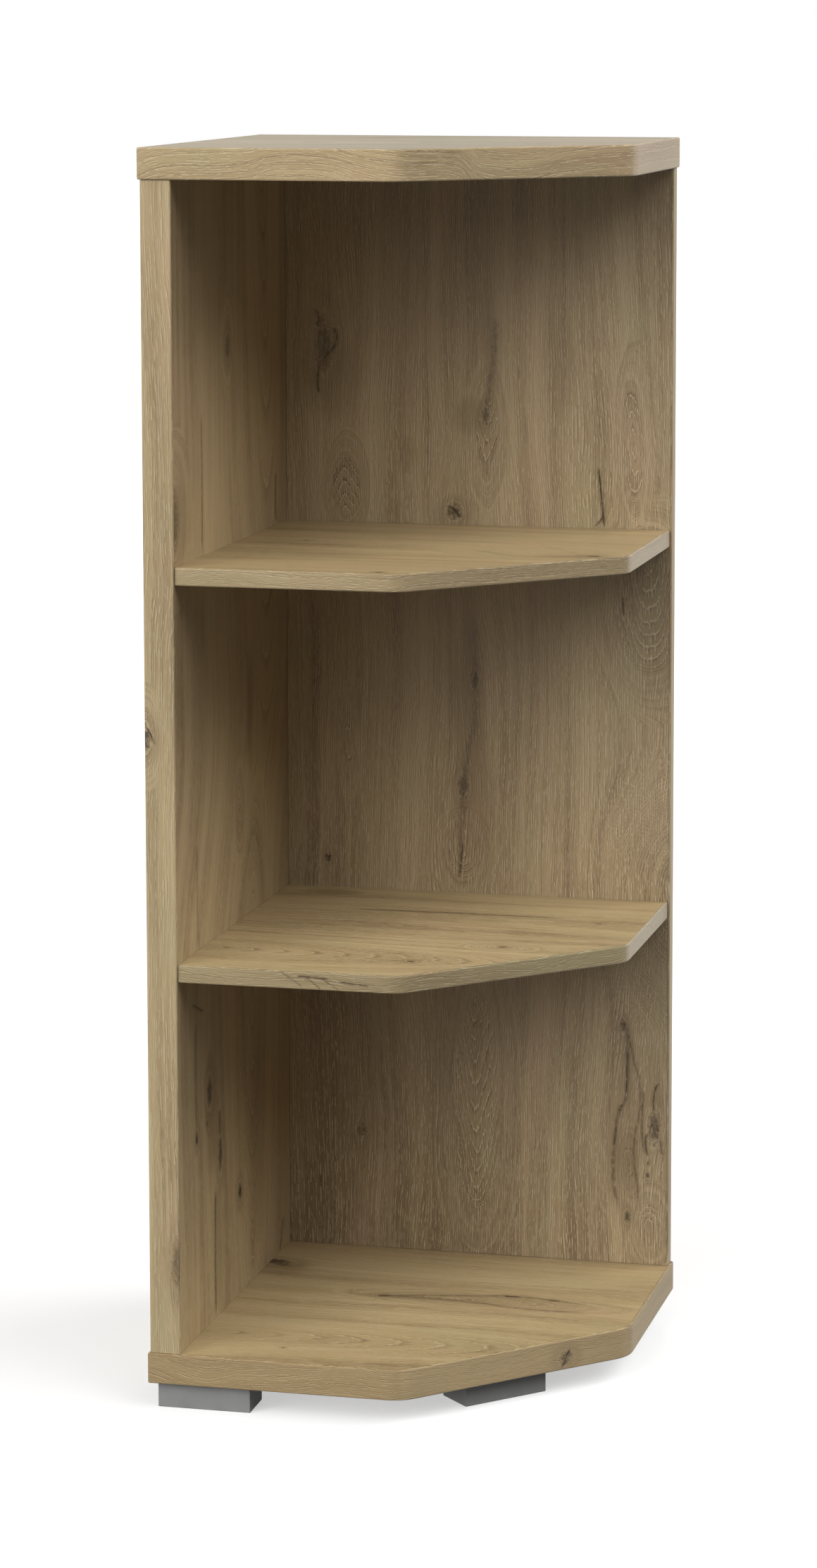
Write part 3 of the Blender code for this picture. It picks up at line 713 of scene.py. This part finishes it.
def board_paint(name, axes, marked, growth, hidden_growth, seed, foot_start=None, **look):
    """Oak for a board; axes run across the grain, along it and through the board. marked gives the depths
    where the face that the photograph shows starts and is full. A board with a foot_start darkens below it,
    and near the top it has painted shade, standing in for the shade under the top panel."""
    u, v, w = Paint(name).place(axes)
    face = w.rise(*marked)
    u = u + (1.0 - face) * HIDDEN_SHIFT

    def both(bent, v):
        return between(hidden_growth(bent, v), growth(bent, v), face)

    if foot_start is not None:
        # Painted shade: the tone drops near the top, where the top panel shades the board; lower down it
        # simply darkens below foot_start
        look["tone"] = (v - foot_start).least(0.0) * DARK_FOOT - (v - PAINTED_SHADE_START).most(0.0) * PAINTED_SHADE_RATE
    return oak(Grain(u, v, w, seed), both, **look)


# Each board's tint is partly its own tone and partly painted light and shade, fitted to how bright the board
# looks where it stands
oak_paints = {
    "back_panel": board_paint(
        "oak_back", (X, Z, Y), (0.187, 0.185), BACK_GROWTH, arches(0.95, 0.3, 0.085, 200.0),
        seed=1.3, knots=BACK_KNOTS, lines=BACK_LINES, eyes=BACK_EYES, smudges=BACK_SMUDGES,
        foot_start=0.55, streaky=0.85, contrast=0.9, short=1.4, tint=(1.04, 1.03, 1.05)),
    "side_panel": board_paint(
        "oak_side", (Y, Z, X), (-0.189, -0.187), SIDE_GROWTH, arches(0.86, 0.78, 0.08, 200.0),
        seed=4.1, knots=SIDE_KNOTS, lines=SIDE_LINES, eyes=SIDE_EYES, smudges=SIDE_SMUDGES,
        contrast=0.85, tint=(0.993, 0.95, 0.893)),
    "bottom_panel": board_paint(
        "oak_bottom", (Y, X, Z), (0.037, 0.039), BOTTOM_GROWTH, arches(0.93, 0.1, 0.1, 160.0),
        seed=7.7, knots=BOTTOM_KNOTS, lines=BOTTOM_LINES, eyes=BOTTOM_EYES, smudges=BOTTOM_SMUDGES,
        streaky=0.9, tint=(1.06, 1.02, 0.9)),
    "lower_shelf": board_paint(
        "oak_lower", (Y, X, Z), (0.399, 0.401), LOWER_GROWTH, arches(0.88, -0.1, 0.1, 160.0),
        seed=11.2, knots=LOWER_KNOTS, lines=LOWER_LINES, eyes=LOWER_EYES, smudges=LOWER_SMUDGES,
        streaky=0.9, tint=(1.115, 1.075, 0.955)),
    "upper_shelf": board_paint(
        "oak_upper", (Y, X, Z), (0.755, 0.757), UPPER_GROWTH, arches(0.96, 0.15, 0.1, 160.0),
        seed=15.9, knots=UPPER_KNOTS, lines=UPPER_LINES, eyes=UPPER_EYES, smudges=UPPER_SMUDGES,
        streaky=0.9, tint=(1.01, 0.95, 0.84)),
    "top_panel": board_paint(
        "oak_top", (Y, X, Z), (1.117, 1.119), TOP_GROWTH, arches(0.85, 0.3, 0.1, 160.0),
        seed=19.4, knots=TOP_KNOTS, lines=TOP_LINES, smudges=TOP_SMUDGES, tint=(0.975, 1.03, 1.165)),
}


# Edge bands: metres over which the tone changes at a corner, and how slowly the grain does with depth

TURN_BLUR = 0.004
FRONT_DEPTH = 0.01
STRAIGHT_DEPTH = 0.2


def strip_place(paint):
    """Along and across a band that wraps the front, the cut corner and the right end."""
    x, y, z = paint.place()
    lean = math.sqrt(2) - 1
    along = x + (y - FRONT) * lean + (y - CUT_END).most(0.0) * (1 - lean)
    return along, z, y + x * 0.01


def front_band(name, low, seed, ripple=None, cut_tone=0.0, end_sheen_tone=0.0, end_sheen=0.0, **look):
    """A front band that starts at the height low; ripple lists how high a growth line stands along it. The
    tones make the strip paler or darker on the cut corner and on the right end; on the right end the paler
    tone and the pale rosy grey are painted sheen, the white studio reflected at a glancing angle."""
    paint = Paint(name)
    along, z, depth = strip_place(paint)
    lift = paint.noise(along * 9.0, 0.3, seed).swing(0.03)
    if ripple:
        lift = lift * 0.15 + curve_through(along, ripple)[0]
    past_front = along.rise(CUT_START - TURN_BLUR, CUT_START + TURN_BLUR)
    past_cut = along.rise(CUT_START + CUT_LENGTH - TURN_BLUR, CUT_START + CUT_LENGTH + TURN_BLUR)
    # Painted sheen: the right end face is made paler and rosy grey, as reflected light on it
    look["tone"] = past_front * cut_tone + past_cut * (end_sheen_tone - cut_tone)
    look["bleached"] = past_cut * end_sheen
    grain = Grain(z - low, along, depth * FRONT_DEPTH, seed)
    return oak(grain, straight_growth, wave=0.0, bend=lift, **look)


def straight_band(name, axes, seed, **look):
    """A band with its grain along the second of the axes."""
    u, v, w = Paint(name).place(axes)
    return oak(Grain(u, v, w * STRAIGHT_DEPTH, seed), straight_growth, wave=0.03, **look)


TOP_RIPPLE = [
    (-0.204, 0.003), (-0.1815, 0.01), (-0.1665, 0.012), (-0.104, 0.0155), (-0.074, 0.022),
    (-0.044, 0.021), (-0.004, 0.0125), (0.031, 0.008), (0.0785, 0.0055), (0.1035, -0.007),
    (0.1185, -0.017), (0.1535, -0.0185), (0.201, -0.0125), (0.2735, -0.0095), (0.5, -0.012),
]

# Each band's tint is partly its own tone and partly painted light and shade, fitted to how bright the band
# looks where it stands
band_paints = {
    "top_front_band": front_band(
        "band_top", 1.104, 23.1, ripple=TOP_RIPPLE, bold=0.3, fine=1.1, contrast=0.85, streaky=0.6,
        short=1.7, cut_tone=-0.08, end_sheen_tone=0.05, end_sheen=0.35, tint=(1.18, 1.17, 1.14)),
    "bottom_front_band": front_band(
        "band_bottom", 0.024, 27.5, fine=1.2, streaky=0.6, short=2.0,
        knots=[((0.011, 0.206), 0.007, 1.3, 0.6)],
        lines=[
            ([(0.018, 0.2105), (0.013, 0.206), (0.009, 0.2045), (0.003, 0.2005)], 0.0015, 1.0),
            ([(0.0165, 0.206), (0.0125, 0.2035), (0.006, 0.204)], 0.001, 1.0),
        ],
        cut_tone=0.26, end_sheen_tone=0.1, tint=(0.82, 0.765, 0.67)),
    "upper_shelf_band": front_band(
        "band_upper", 0.748, 31.8, fine=1.1, contrast=0.9, streaky=0.6, short=1.8,
        end_sheen_tone=0.2, end_sheen=0.35, tint=(0.917, 0.907, 0.88)),
    "lower_shelf_band": front_band(
        "band_lower", 0.392, 35.6, fine=1.1, contrast=0.9, streaky=0.6, short=1.8,
        lines=[
            ([(0.0155, -0.0781), (0.01, -0.0691), (0.002, -0.0567)], 0.0008, 0.5),
            ([(0.012, -0.063), (0.0105, -0.0328)], 0.0007, 1.0),
            ([(0.013, -0.0567), (0.001, -0.0403)], 0.0007, 0.6),
            ([(0.011, -0.0403), (0.001, -0.024)], 0.0007, 0.6),
            ([(0.0085, -0.0252), (0.006, 0.0037)], 0.0008, 0.8),
        ],
        end_sheen_tone=0.2, end_sheen=0.35, tint=(0.805, 0.815, 0.77)),
    "side_front_band": straight_band(
        "band_side", (X, Z, Y), 39.3, fine=1.3, contrast=0.75,
        knots=[((-0.2035, 0.612), 0.0085, 1.6, 0.8), ((-0.176, 0.135), 0.006, 4.5, 0.35)],
        lines=[([(-0.199, 0.621), (-0.192, 0.606)], 0.0009, 1.0)],
        eyes=[((-0.204, 0.612), 0.018, 0.04, CLOSED)],
        smudges=[((-0.172, 0.135), 0.009, 0.04, 0.4)],
        tint=(1.1, 1.1, 1.07)),
    "side_rear_band": straight_band("band_side_rear", (X, Z, Y), 43.9),
    "back_end_band": straight_band("band_back_end", (Y, Z, X), 47.2, contrast=0.7),
}
for board, seed in (("top", 50.0), ("bottom", 57.0)):
    band_paints[board + "_left_band"] = straight_band("band_left_" + board, (Z, Y, X), seed)
    band_paints[board + "_rear_band"] = straight_band("band_rear_" + board, (Z, X, Y), seed + 3.0)


# Feet and fasteners: their materials

def grey_plastic():
    paint = Paint("grey_plastic_moulded")
    grain = paint.even_noise(2600.0)
    cloud = paint.even_noise(60.0, 2.0)
    level = cloud.swing(0.6) + 0.5 + grain.swing(0.35)
    colour = paint.ramp(level, [(0.0, srgb(118, 118, 117)), (1.0, srgb(148, 148, 147))])
    return paint.finish(colour, grain.swing(0.2) + 0.52, paint.bump(grain, 0.00008, 0.5))


def metal(name, dark, pale, roughness):
    paint = Paint(name)
    cloud = paint.even_noise(420.0, 2.0, 0.6)
    grain = paint.even_noise(4200.0)
    colour = paint.ramp(cloud, [(0.25, dark), (0.75, pale)])
    rough = cloud.swing(0.25) + roughness + grain.swing(0.1)
    return paint.finish(colour, rough, paint.bump(grain, 0.00004, 0.4), metallic=1.0)


def beech():
    paint = Paint("beech_turned")
    fleck = paint.even_noise(900.0)
    cloud = paint.even_noise(120.0, 2.0)
    level = cloud.swing(1.0) + 0.5 + fleck.swing(0.4)
    colour = paint.ramp(level, [(0.1, srgb(176, 138, 98)), (0.9, srgb(214, 182, 142))])
    return paint.finish(colour, fleck.swing(0.1) + 0.6, paint.bump(fleck, 0.0001, 0.5))


ZINC_PLATE = metal("zinc_plate", srgb(170, 172, 174), srgb(205, 206, 208), 0.3)
ZINC_CAST = metal("zinc_cast", srgb(128, 129, 131), srgb(160, 161, 163), 0.45)
BEECH = beech()
FEET = ("foot_front_left", "foot_cut_corner", "foot_back_left", "foot_back_right")

foot_paints = dict.fromkeys(FEET, grey_plastic())
for node, material in {**oak_paints, **band_paints, **foot_paints}.items():
    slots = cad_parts[node].data.materials
    slots.clear()
    slots.append(material)


# Fasteners, made by Geometry Nodes and put where the solids have theirs

SHARP_ANGLE = math.radians(32)
RIGHTWARDS = Vector((1, 0, 0))
REARWARDS = Vector((0, 1, 0))
UP = Vector((0, 0, 1))


class Recipe(Graph):
    """A Geometry Nodes tree that turns one fastener on a lathe and sets it on each point of a mesh."""

    def __init__(self, name, sizes):
        super().__init__(bpy.data.node_groups.new(name, "GeometryNodeTree"))
        self.sizes = sizes
        ports = self.tree.interface
        for way in ("INPUT", "OUTPUT"):
            ports.new_socket("Geometry", in_out=way, socket_type="NodeSocketGeometry")
        for size, value in sizes.items():
            kind = "NodeSocketInt" if isinstance(value, int) else "NodeSocketFloat"
            ports.new_socket(size, in_out="INPUT", socket_type=kind)
        source = self.tree.nodes.new("NodeGroupInput")
        self.input = {socket.name: Value(self, socket) for socket in source.outputs if socket.name}

    def lathe(self, profile):
        """A closed turned solid; the profile lists radius share, height share and the rows leading there."""
        rows = sum(steps for radius, height, steps in profile)
        cylinder = {"Vertices": self.input["Sides"], "Side Segments": rows, "Radius": 1.0, "Depth": 1.0}
        blank = self.node("GeometryNodeMeshCylinder", None, cylinder)
        x, y, z = self.parts(self.node("GeometryNodeInputPosition"))
        travel = z + 0.5
        done = 0
        radii, heights = [], []
        for radius, height, steps in profile:
            done += steps
            radii.append((done / rows, radius))
            heights.append((done / rows, height))
        radius = self.curve(travel, radii, "VECTOR") * self.input["Radius"]
        height = self.curve(travel, heights, "VECTOR") * self.input["Length"]
        turn = y.math("ARCTAN2", y, x) / math.tau
        radius = radius + self.ridges(turn, height)
        position = self.vector(x * radius, y * radius, height)
        return self.node("GeometryNodeSetPosition", None, {"Geometry": blank, "Position": position})

    def ridges(self, turn, height):
        """How far a thread stands out of the turned radius, or flutes go into it."""
        if "Pitch" in self.input:
            pitch = self.input["Pitch"]
            start, end = self.input["Thread start"], self.input["Thread end"]
            phase = (height / pitch - turn).fraction()
            there = height.rise(start, start + pitch) * height.rise(end, end - pitch)
            return abs(phase - 0.5).rise(0.5, 0.1) * there * self.input["Thread depth"]
        if "Flutes" in self.input:
            phase = (turn * self.input["Flutes"]).fraction()
            return abs(phase - 0.5).rise(0.2, 0.0) * self.input["Flute depth"] * -1.0
        return 0.0

    def moved(self, solid, x, z):
        inputs = {"Geometry": solid, "Translation": self.vector(x, 0.0, z)}
        return self.node("GeometryNodeTransform", None, inputs)

    def block(self, size, x=0.0, z=0.0):
        cube = self.node("GeometryNodeMeshCube", None, {"Size": self.vector(*size)})
        return self.moved(cube, x, z)

    def prism(self, sides, radius, height, x=0.0, z=0.0):
        """An upright prism. Its middle is at x and z."""
        sizes = {"Vertices": sides, "Radius Top": radius, "Radius Bottom": radius, "Depth": height}
        return self.moved(self.node("GeometryNodeMeshCone", None, sizes), x, z - height * 0.5)

    def cross(self):
        """The cutters of a cross recess in the end at height 0."""
        length, width, depth = (self.input["Cross " + size] for size in ("length", "width", "depth"))
        return [
            self.block((length, width, depth * 2.0)),
            self.block((width, length, depth * 2.0)),
            self.prism(16, width * 1.15, depth * 2.3),
        ]

    def cut(self, solid, cutters):
        settings = {"operation": "DIFFERENCE", "solver": "EXACT"}
        return self.node("GeometryNodeMeshBoolean", settings, {"Mesh 1": solid, "Mesh 2": cutters})

    def spread(self, solid, material):
        """Sets the solid on each point, turned as the point says and by chance round its own axis."""
        loose = self.input["Loose turn"]
        chance = {2: loose * -1.0, 3: loose, "Seed": self.input["Seed"]}
        spin = self.node("FunctionNodeRandomValue", {"data_type": "FLOAT"}, chance, 1)
        turn = self.node("GeometryNodeInputNamedAttribute", {"data_type": "FLOAT_VECTOR"}, {"Name": "turn"})
        laid = self.node("FunctionNodeEulerToRotation", None, {0: turn})
        spun = self.node("FunctionNodeEulerToRotation", None, {0: self.vector(0.0, 0.0, spin)})
        turns = {"Rotation": laid, "Rotate By": spun}
        both = self.node("FunctionNodeRotateRotation", {"rotation_space": "LOCAL"}, turns)
        points = {"Points": self.input["Geometry"], "Instance": solid, "Rotation": both}
        rows = self.node("GeometryNodeInstanceOnPoints", None, points)
        whole = self.node("GeometryNodeRealizeInstances", None, {"Geometry": rows})
        dressed = self.node("GeometryNodeSetMaterial", None, {"Geometry": whole, "Material": material})
        self.feed(self.tree.nodes.new("NodeGroupOutput").inputs[0], dressed)

    def make(self, name, places, solid, material, slot):
        """The finished piece: one plain mesh that stands for every node in places."""
        self.spread(solid, material)
        mesh = bpy.data.meshes.new(name + "_places")
        mesh.from_pydata([spot for spot, turn in places.values()], [], [])
        turn_layer = mesh.attributes.new("turn", "FLOAT_VECTOR", "POINT")
        for row, (spot, turn) in zip(turn_layer.data, places.values()):
            row.vector = turn.to_euler()
        piece = add_object(name, mesh)
        modifier = piece.modifiers.new("recipe", "NODES")
        modifier.node_group = self.tree
        for port in self.tree.interface.items_tree:
            if port.name in self.sizes:
                modifier[port.identifier] = self.sizes[port.name]
        bpy.context.view_layer.update()
        depsgraph = bpy.context.evaluated_depsgraph_get()
        finished = bpy.data.meshes.new_from_object(piece.evaluated_get(depsgraph), depsgraph=depsgraph)
        piece.modifiers.remove(modifier)
        piece.data = finished
        finished.name = name
        finished.materials.clear()
        finished.materials.append(material)
        finished.shade_smooth()
        finished.set_sharp_from_angle(angle=SHARP_ANGLE)
        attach(piece, "root")
        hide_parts(*places)


def fastener_nodes(word):
    return sorted(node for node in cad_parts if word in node)


def middle_of(node):
    low, high = (Vector(corner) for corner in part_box(node))
    return (low + high) / 2, (high - low) / 2


def facing(outwards, sideways):
    """The turn that brings +Z to outwards and +X to sideways."""
    return Matrix((sideways, outwards.cross(sideways), outwards)).transposed()


def longest(node):
    middle, half = middle_of(node)
    return max((RIGHTWARDS, REARWARDS, UP), key=half.dot)


def bolt_direction(node):
    """The way from the board that the bolt is in to the cam that pulls on it."""
    if "shelf" in node:
        return RIGHTWARDS
    return -UP if "top" in node else UP


def end_places(nodes, direction_of):
    """Where each fastener starts, and the turn that lays its axis along its direction."""
    places = {}
    for node in nodes:
        middle, half = middle_of(node)
        direction = direction_of(node)
        aside = RIGHTWARDS if direction == REARWARDS else REARWARDS
        places[node] = (middle - direction * abs(half.dot(direction)), facing(direction, aside))
    return places


def cam_places(nodes):
    """Where each cam's face is, and the turn that brings its slot to the bolt."""
    places = {}
    for node in nodes:
        middle, half = middle_of(node)
        outwards = -UP if "shelf" in node else REARWARDS
        places[node] = (middle + outwards * abs(half.dot(outwards)), facing(outwards, bolt_direction(node)))
    return places


# The cams' slot is a little lower than its hollow, so that no faces coincide

SLOT_SHARE = 0.96
CROSS = {"Cross length": 0.0048, "Cross width": 0.001, "Cross depth": 0.0016}


def make_screws():
    recipe = Recipe("foot_screw_recipe", {
        "Radius": 0.004, "Length": 0.0304, "Sides": 24, "Pitch": 0.0018, "Thread depth": 0.0006,
        "Thread start": 0.0045, "Thread end": 0.029, "Loose turn": math.pi, "Seed": 5, **CROSS,
    })
    profile = [
        (0.6, 0.0, 0), (0.78, 0.004, 1), (0.92, 0.014, 1), (0.98, 0.026, 1), (1.0, 0.042, 1),
        (1.0, 0.077, 1), (0.37, 0.08, 1), (0.35, 0.15, 1), (0.35, 0.87, 60), (0.02, 1.0, 3),
    ]
    solid = recipe.cut(recipe.lathe(profile), recipe.cross())
    places = end_places(fastener_nodes("_screw_"), lambda node: UP)
    recipe.make("foot_screws", places, solid, ZINC_PLATE, "zinc_plated_steel")


def make_cams():
    recipe = Recipe("cam_recipe", {
        "Radius": 0.0075, "Length": -0.012, "Sides": 48, "Hollow radius": 0.0036, "Hollow height": 0.0064,
        "Hollow depth": 0.0077, "Arrow size": 0.0011, "Arrow place": 0.0048, "Arrow depth": 0.0004,
        "Loose turn": 0.1, "Seed": 9, **CROSS,
    })
    profile = [(0.95, 1.0, 0), (1.0, 0.97, 1), (1.0, 0.04, 1), (0.985, 0.015, 1), (0.95, 0.0, 1)]
    hollow_radius, hollow_height = recipe.input["Hollow radius"], recipe.input["Hollow height"]
    drop = recipe.input["Hollow depth"] * -1.0
    reach = recipe.input["Radius"] * 1.2
    slot_size = (reach, hollow_height, hollow_height * SLOT_SHARE)
    arrow_place = recipe.input["Arrow place"] * -1.0
    arrow_height = recipe.input["Arrow depth"] * 2.0
    cutters = recipe.cross() + [
        recipe.prism(24, hollow_radius, hollow_height, z=drop),
        recipe.block(slot_size, x=reach * -0.5, z=drop),
        recipe.prism(3, recipe.input["Arrow size"], arrow_height, x=arrow_place),
    ]
    solid = recipe.cut(recipe.lathe(profile), cutters)
    recipe.make("cams", cam_places(fastener_nodes("_cam")), solid, ZINC_CAST, "zinc_die_casting")


def make_bolts():
    recipe = Recipe("bolt_recipe", {
        "Radius": 0.0036, "Length": 0.0464, "Sides": 20, "Pitch": 0.0015, "Thread depth": 0.0006,
        "Thread start": 0.0002, "Thread end": 0.0108, "Loose turn": math.pi, "Seed": 13,
    })
    profile = [
        (0.6, 0.0, 0), (0.66, 0.008, 1), (0.66, 0.24, 36), (1.0, 0.243, 1), (1.0, 0.275, 1),
        (0.69, 0.278, 1), (0.69, 0.8, 1), (0.44, 0.803, 1), (0.44, 0.948, 1), (0.83, 0.951, 1),
        (0.83, 0.992, 1), (0.78, 1.0, 1),
    ]
    places = end_places(fastener_nodes("_bolt"), bolt_direction)
    recipe.make("cam_bolts", places, recipe.lathe(profile), ZINC_PLATE, "zinc_plated_steel")


def make_dowels():
    recipe = Recipe("dowel_recipe", {
        "Radius": 0.004, "Length": 0.03, "Sides": 64, "Flutes": 16, "Flute depth": 0.0003,
        "Loose turn": math.pi, "Seed": 21,
    })
    profile = [
        (0.75, 0.0, 0), (0.96, 0.025, 1), (1.0, 0.045, 1), (1.0, 0.955, 1), (0.96, 0.975, 1), (0.75, 1.0, 1),
    ]
    places = end_places(fastener_nodes("_dowel"), longest)
    recipe.make("dowels", places, recipe.lathe(profile), BEECH, "beech")


make_screws()
make_cams()
make_bolts()
make_dowels()


# Camera

camera_data = bpy.data.cameras.new("camera")
camera_data.lens = 100.0
camera_data.sensor_width = 36.0
camera_data.shift_x = -0.04
camera_data.shift_y = -0.15
camera = add_object("camera", camera_data)
camera.location = (0.9386, -3.8282, 1.2546)
camera.rotation_euler = (math.radians(90 - 7.116), 0, math.radians(13.078))
bpy.context.scene.camera = camera


# Floor and light

FLOOR_REACH = 30.0
FLOOR_PALE = (0.6, 0.6, 0.6, 1)
FLOOR_DARK = (0.05, 0.05, 0.05, 1)
WHITE = (1, 1, 1, 1)
FLOOR_GLOW = 0.5
WORLD_LIGHT = 0.005
MIRRORED_LIGHT = 0.6


def seen_share(graph):
    """1 for what the camera sees itself, MIRRORED_LIGHT for reflections and 0 for all other light."""
    mirrored = graph.node("LightPath", output="Is Glossy Ray") * MIRRORED_LIGHT
    return graph.node("LightPath", output="Is Camera Ray").most(mirrored)


def stage_floor():
    """Pale where it is seen, and dark as a light on the shelf."""
    mesh = bpy.data.meshes.new("floor")
    corners = [(x * FLOOR_REACH, y * FLOOR_REACH, 0) for x, y in ((-1, -1), (1, -1), (1, 1), (-1, 1))]
    mesh.from_pydata(corners, [], [(0, 1, 2, 3)])
    floor = add_object("floor", mesh)
    paint = Paint("floor_paint")
    paint.tree.nodes.remove(paint.shader)
    pale = paint.node("BsdfDiffuse", None, {"Color": FLOOR_PALE})
    glow = paint.node("Emission", None, {"Color": WHITE, "Strength": FLOOR_GLOW})
    shown = paint.node("AddShader", None, {0: pale, 1: glow})
    dark = paint.node("BsdfDiffuse", None, {"Color": FLOOR_DARK})
    both = paint.node("MixShader", None, {0: seen_share(paint), 1: dark, 2: shown})
    paint.feed(paint.tree.nodes["Material Output"].inputs["Surface"], both)
    mesh.materials.append(paint.material)


def studio_world():
    """White to the camera and in reflections, and nearly dark as a light."""
    world = bpy.data.worlds.new("studio")
    bpy.context.scene.world = world
    world.use_nodes = True
    sky = Graph(world.node_tree)
    backdrop = sky.tree.nodes["Background"]
    seen = seen_share(sky).most(sky.node("LightPath", output="Is Transmission Ray"))
    strength = sky.node("MapRange", None, {"Value": seen, "To Min": WORLD_LIGHT})
    sky.feed(backdrop.inputs["Color"], WHITE)
    sky.feed(backdrop.inputs["Strength"], strength)


# Each lamp is a soft disc in the sky: degrees from the front round to the right, up and across, and strength

LAMPS = {
    "right_front": (45, 45, 40, 0.62),
    "right": (70, 45, 40, 0.84),
    "right_rear": (115, 35, 40, 1.7),
    "right_low": (120, 12, 30, 0.27),
    "left_front": (-45, 15, 40, 1.88),
    "front_left": (-20, 30, 50, 1.64),
    "rear_left": (-158, 6, 12, 1.64),
    "rear": (176, 6, 12, 0.96),
}


def softlight(name, round_front, up, across, strength):
    lamp = bpy.data.lights.new(name, "SUN")
    lamp.angle = math.radians(across)
    lamp.energy = strength
    turn, lift = math.radians(round_front), math.radians(up)
    towards = Vector((math.sin(turn) * math.cos(lift), -math.cos(turn) * math.cos(lift), math.sin(lift)))
    holder = add_object(name, lamp)
    holder.rotation_euler = towards.to_track_quat("Z", "Y").to_euler()
    holder.visible_glossy = False


for name, facts in LAMPS.items():
    softlight(name, *facts)
stage_floor()
studio_world()
bpy.context.scene.view_settings.view_transform = "Standard"
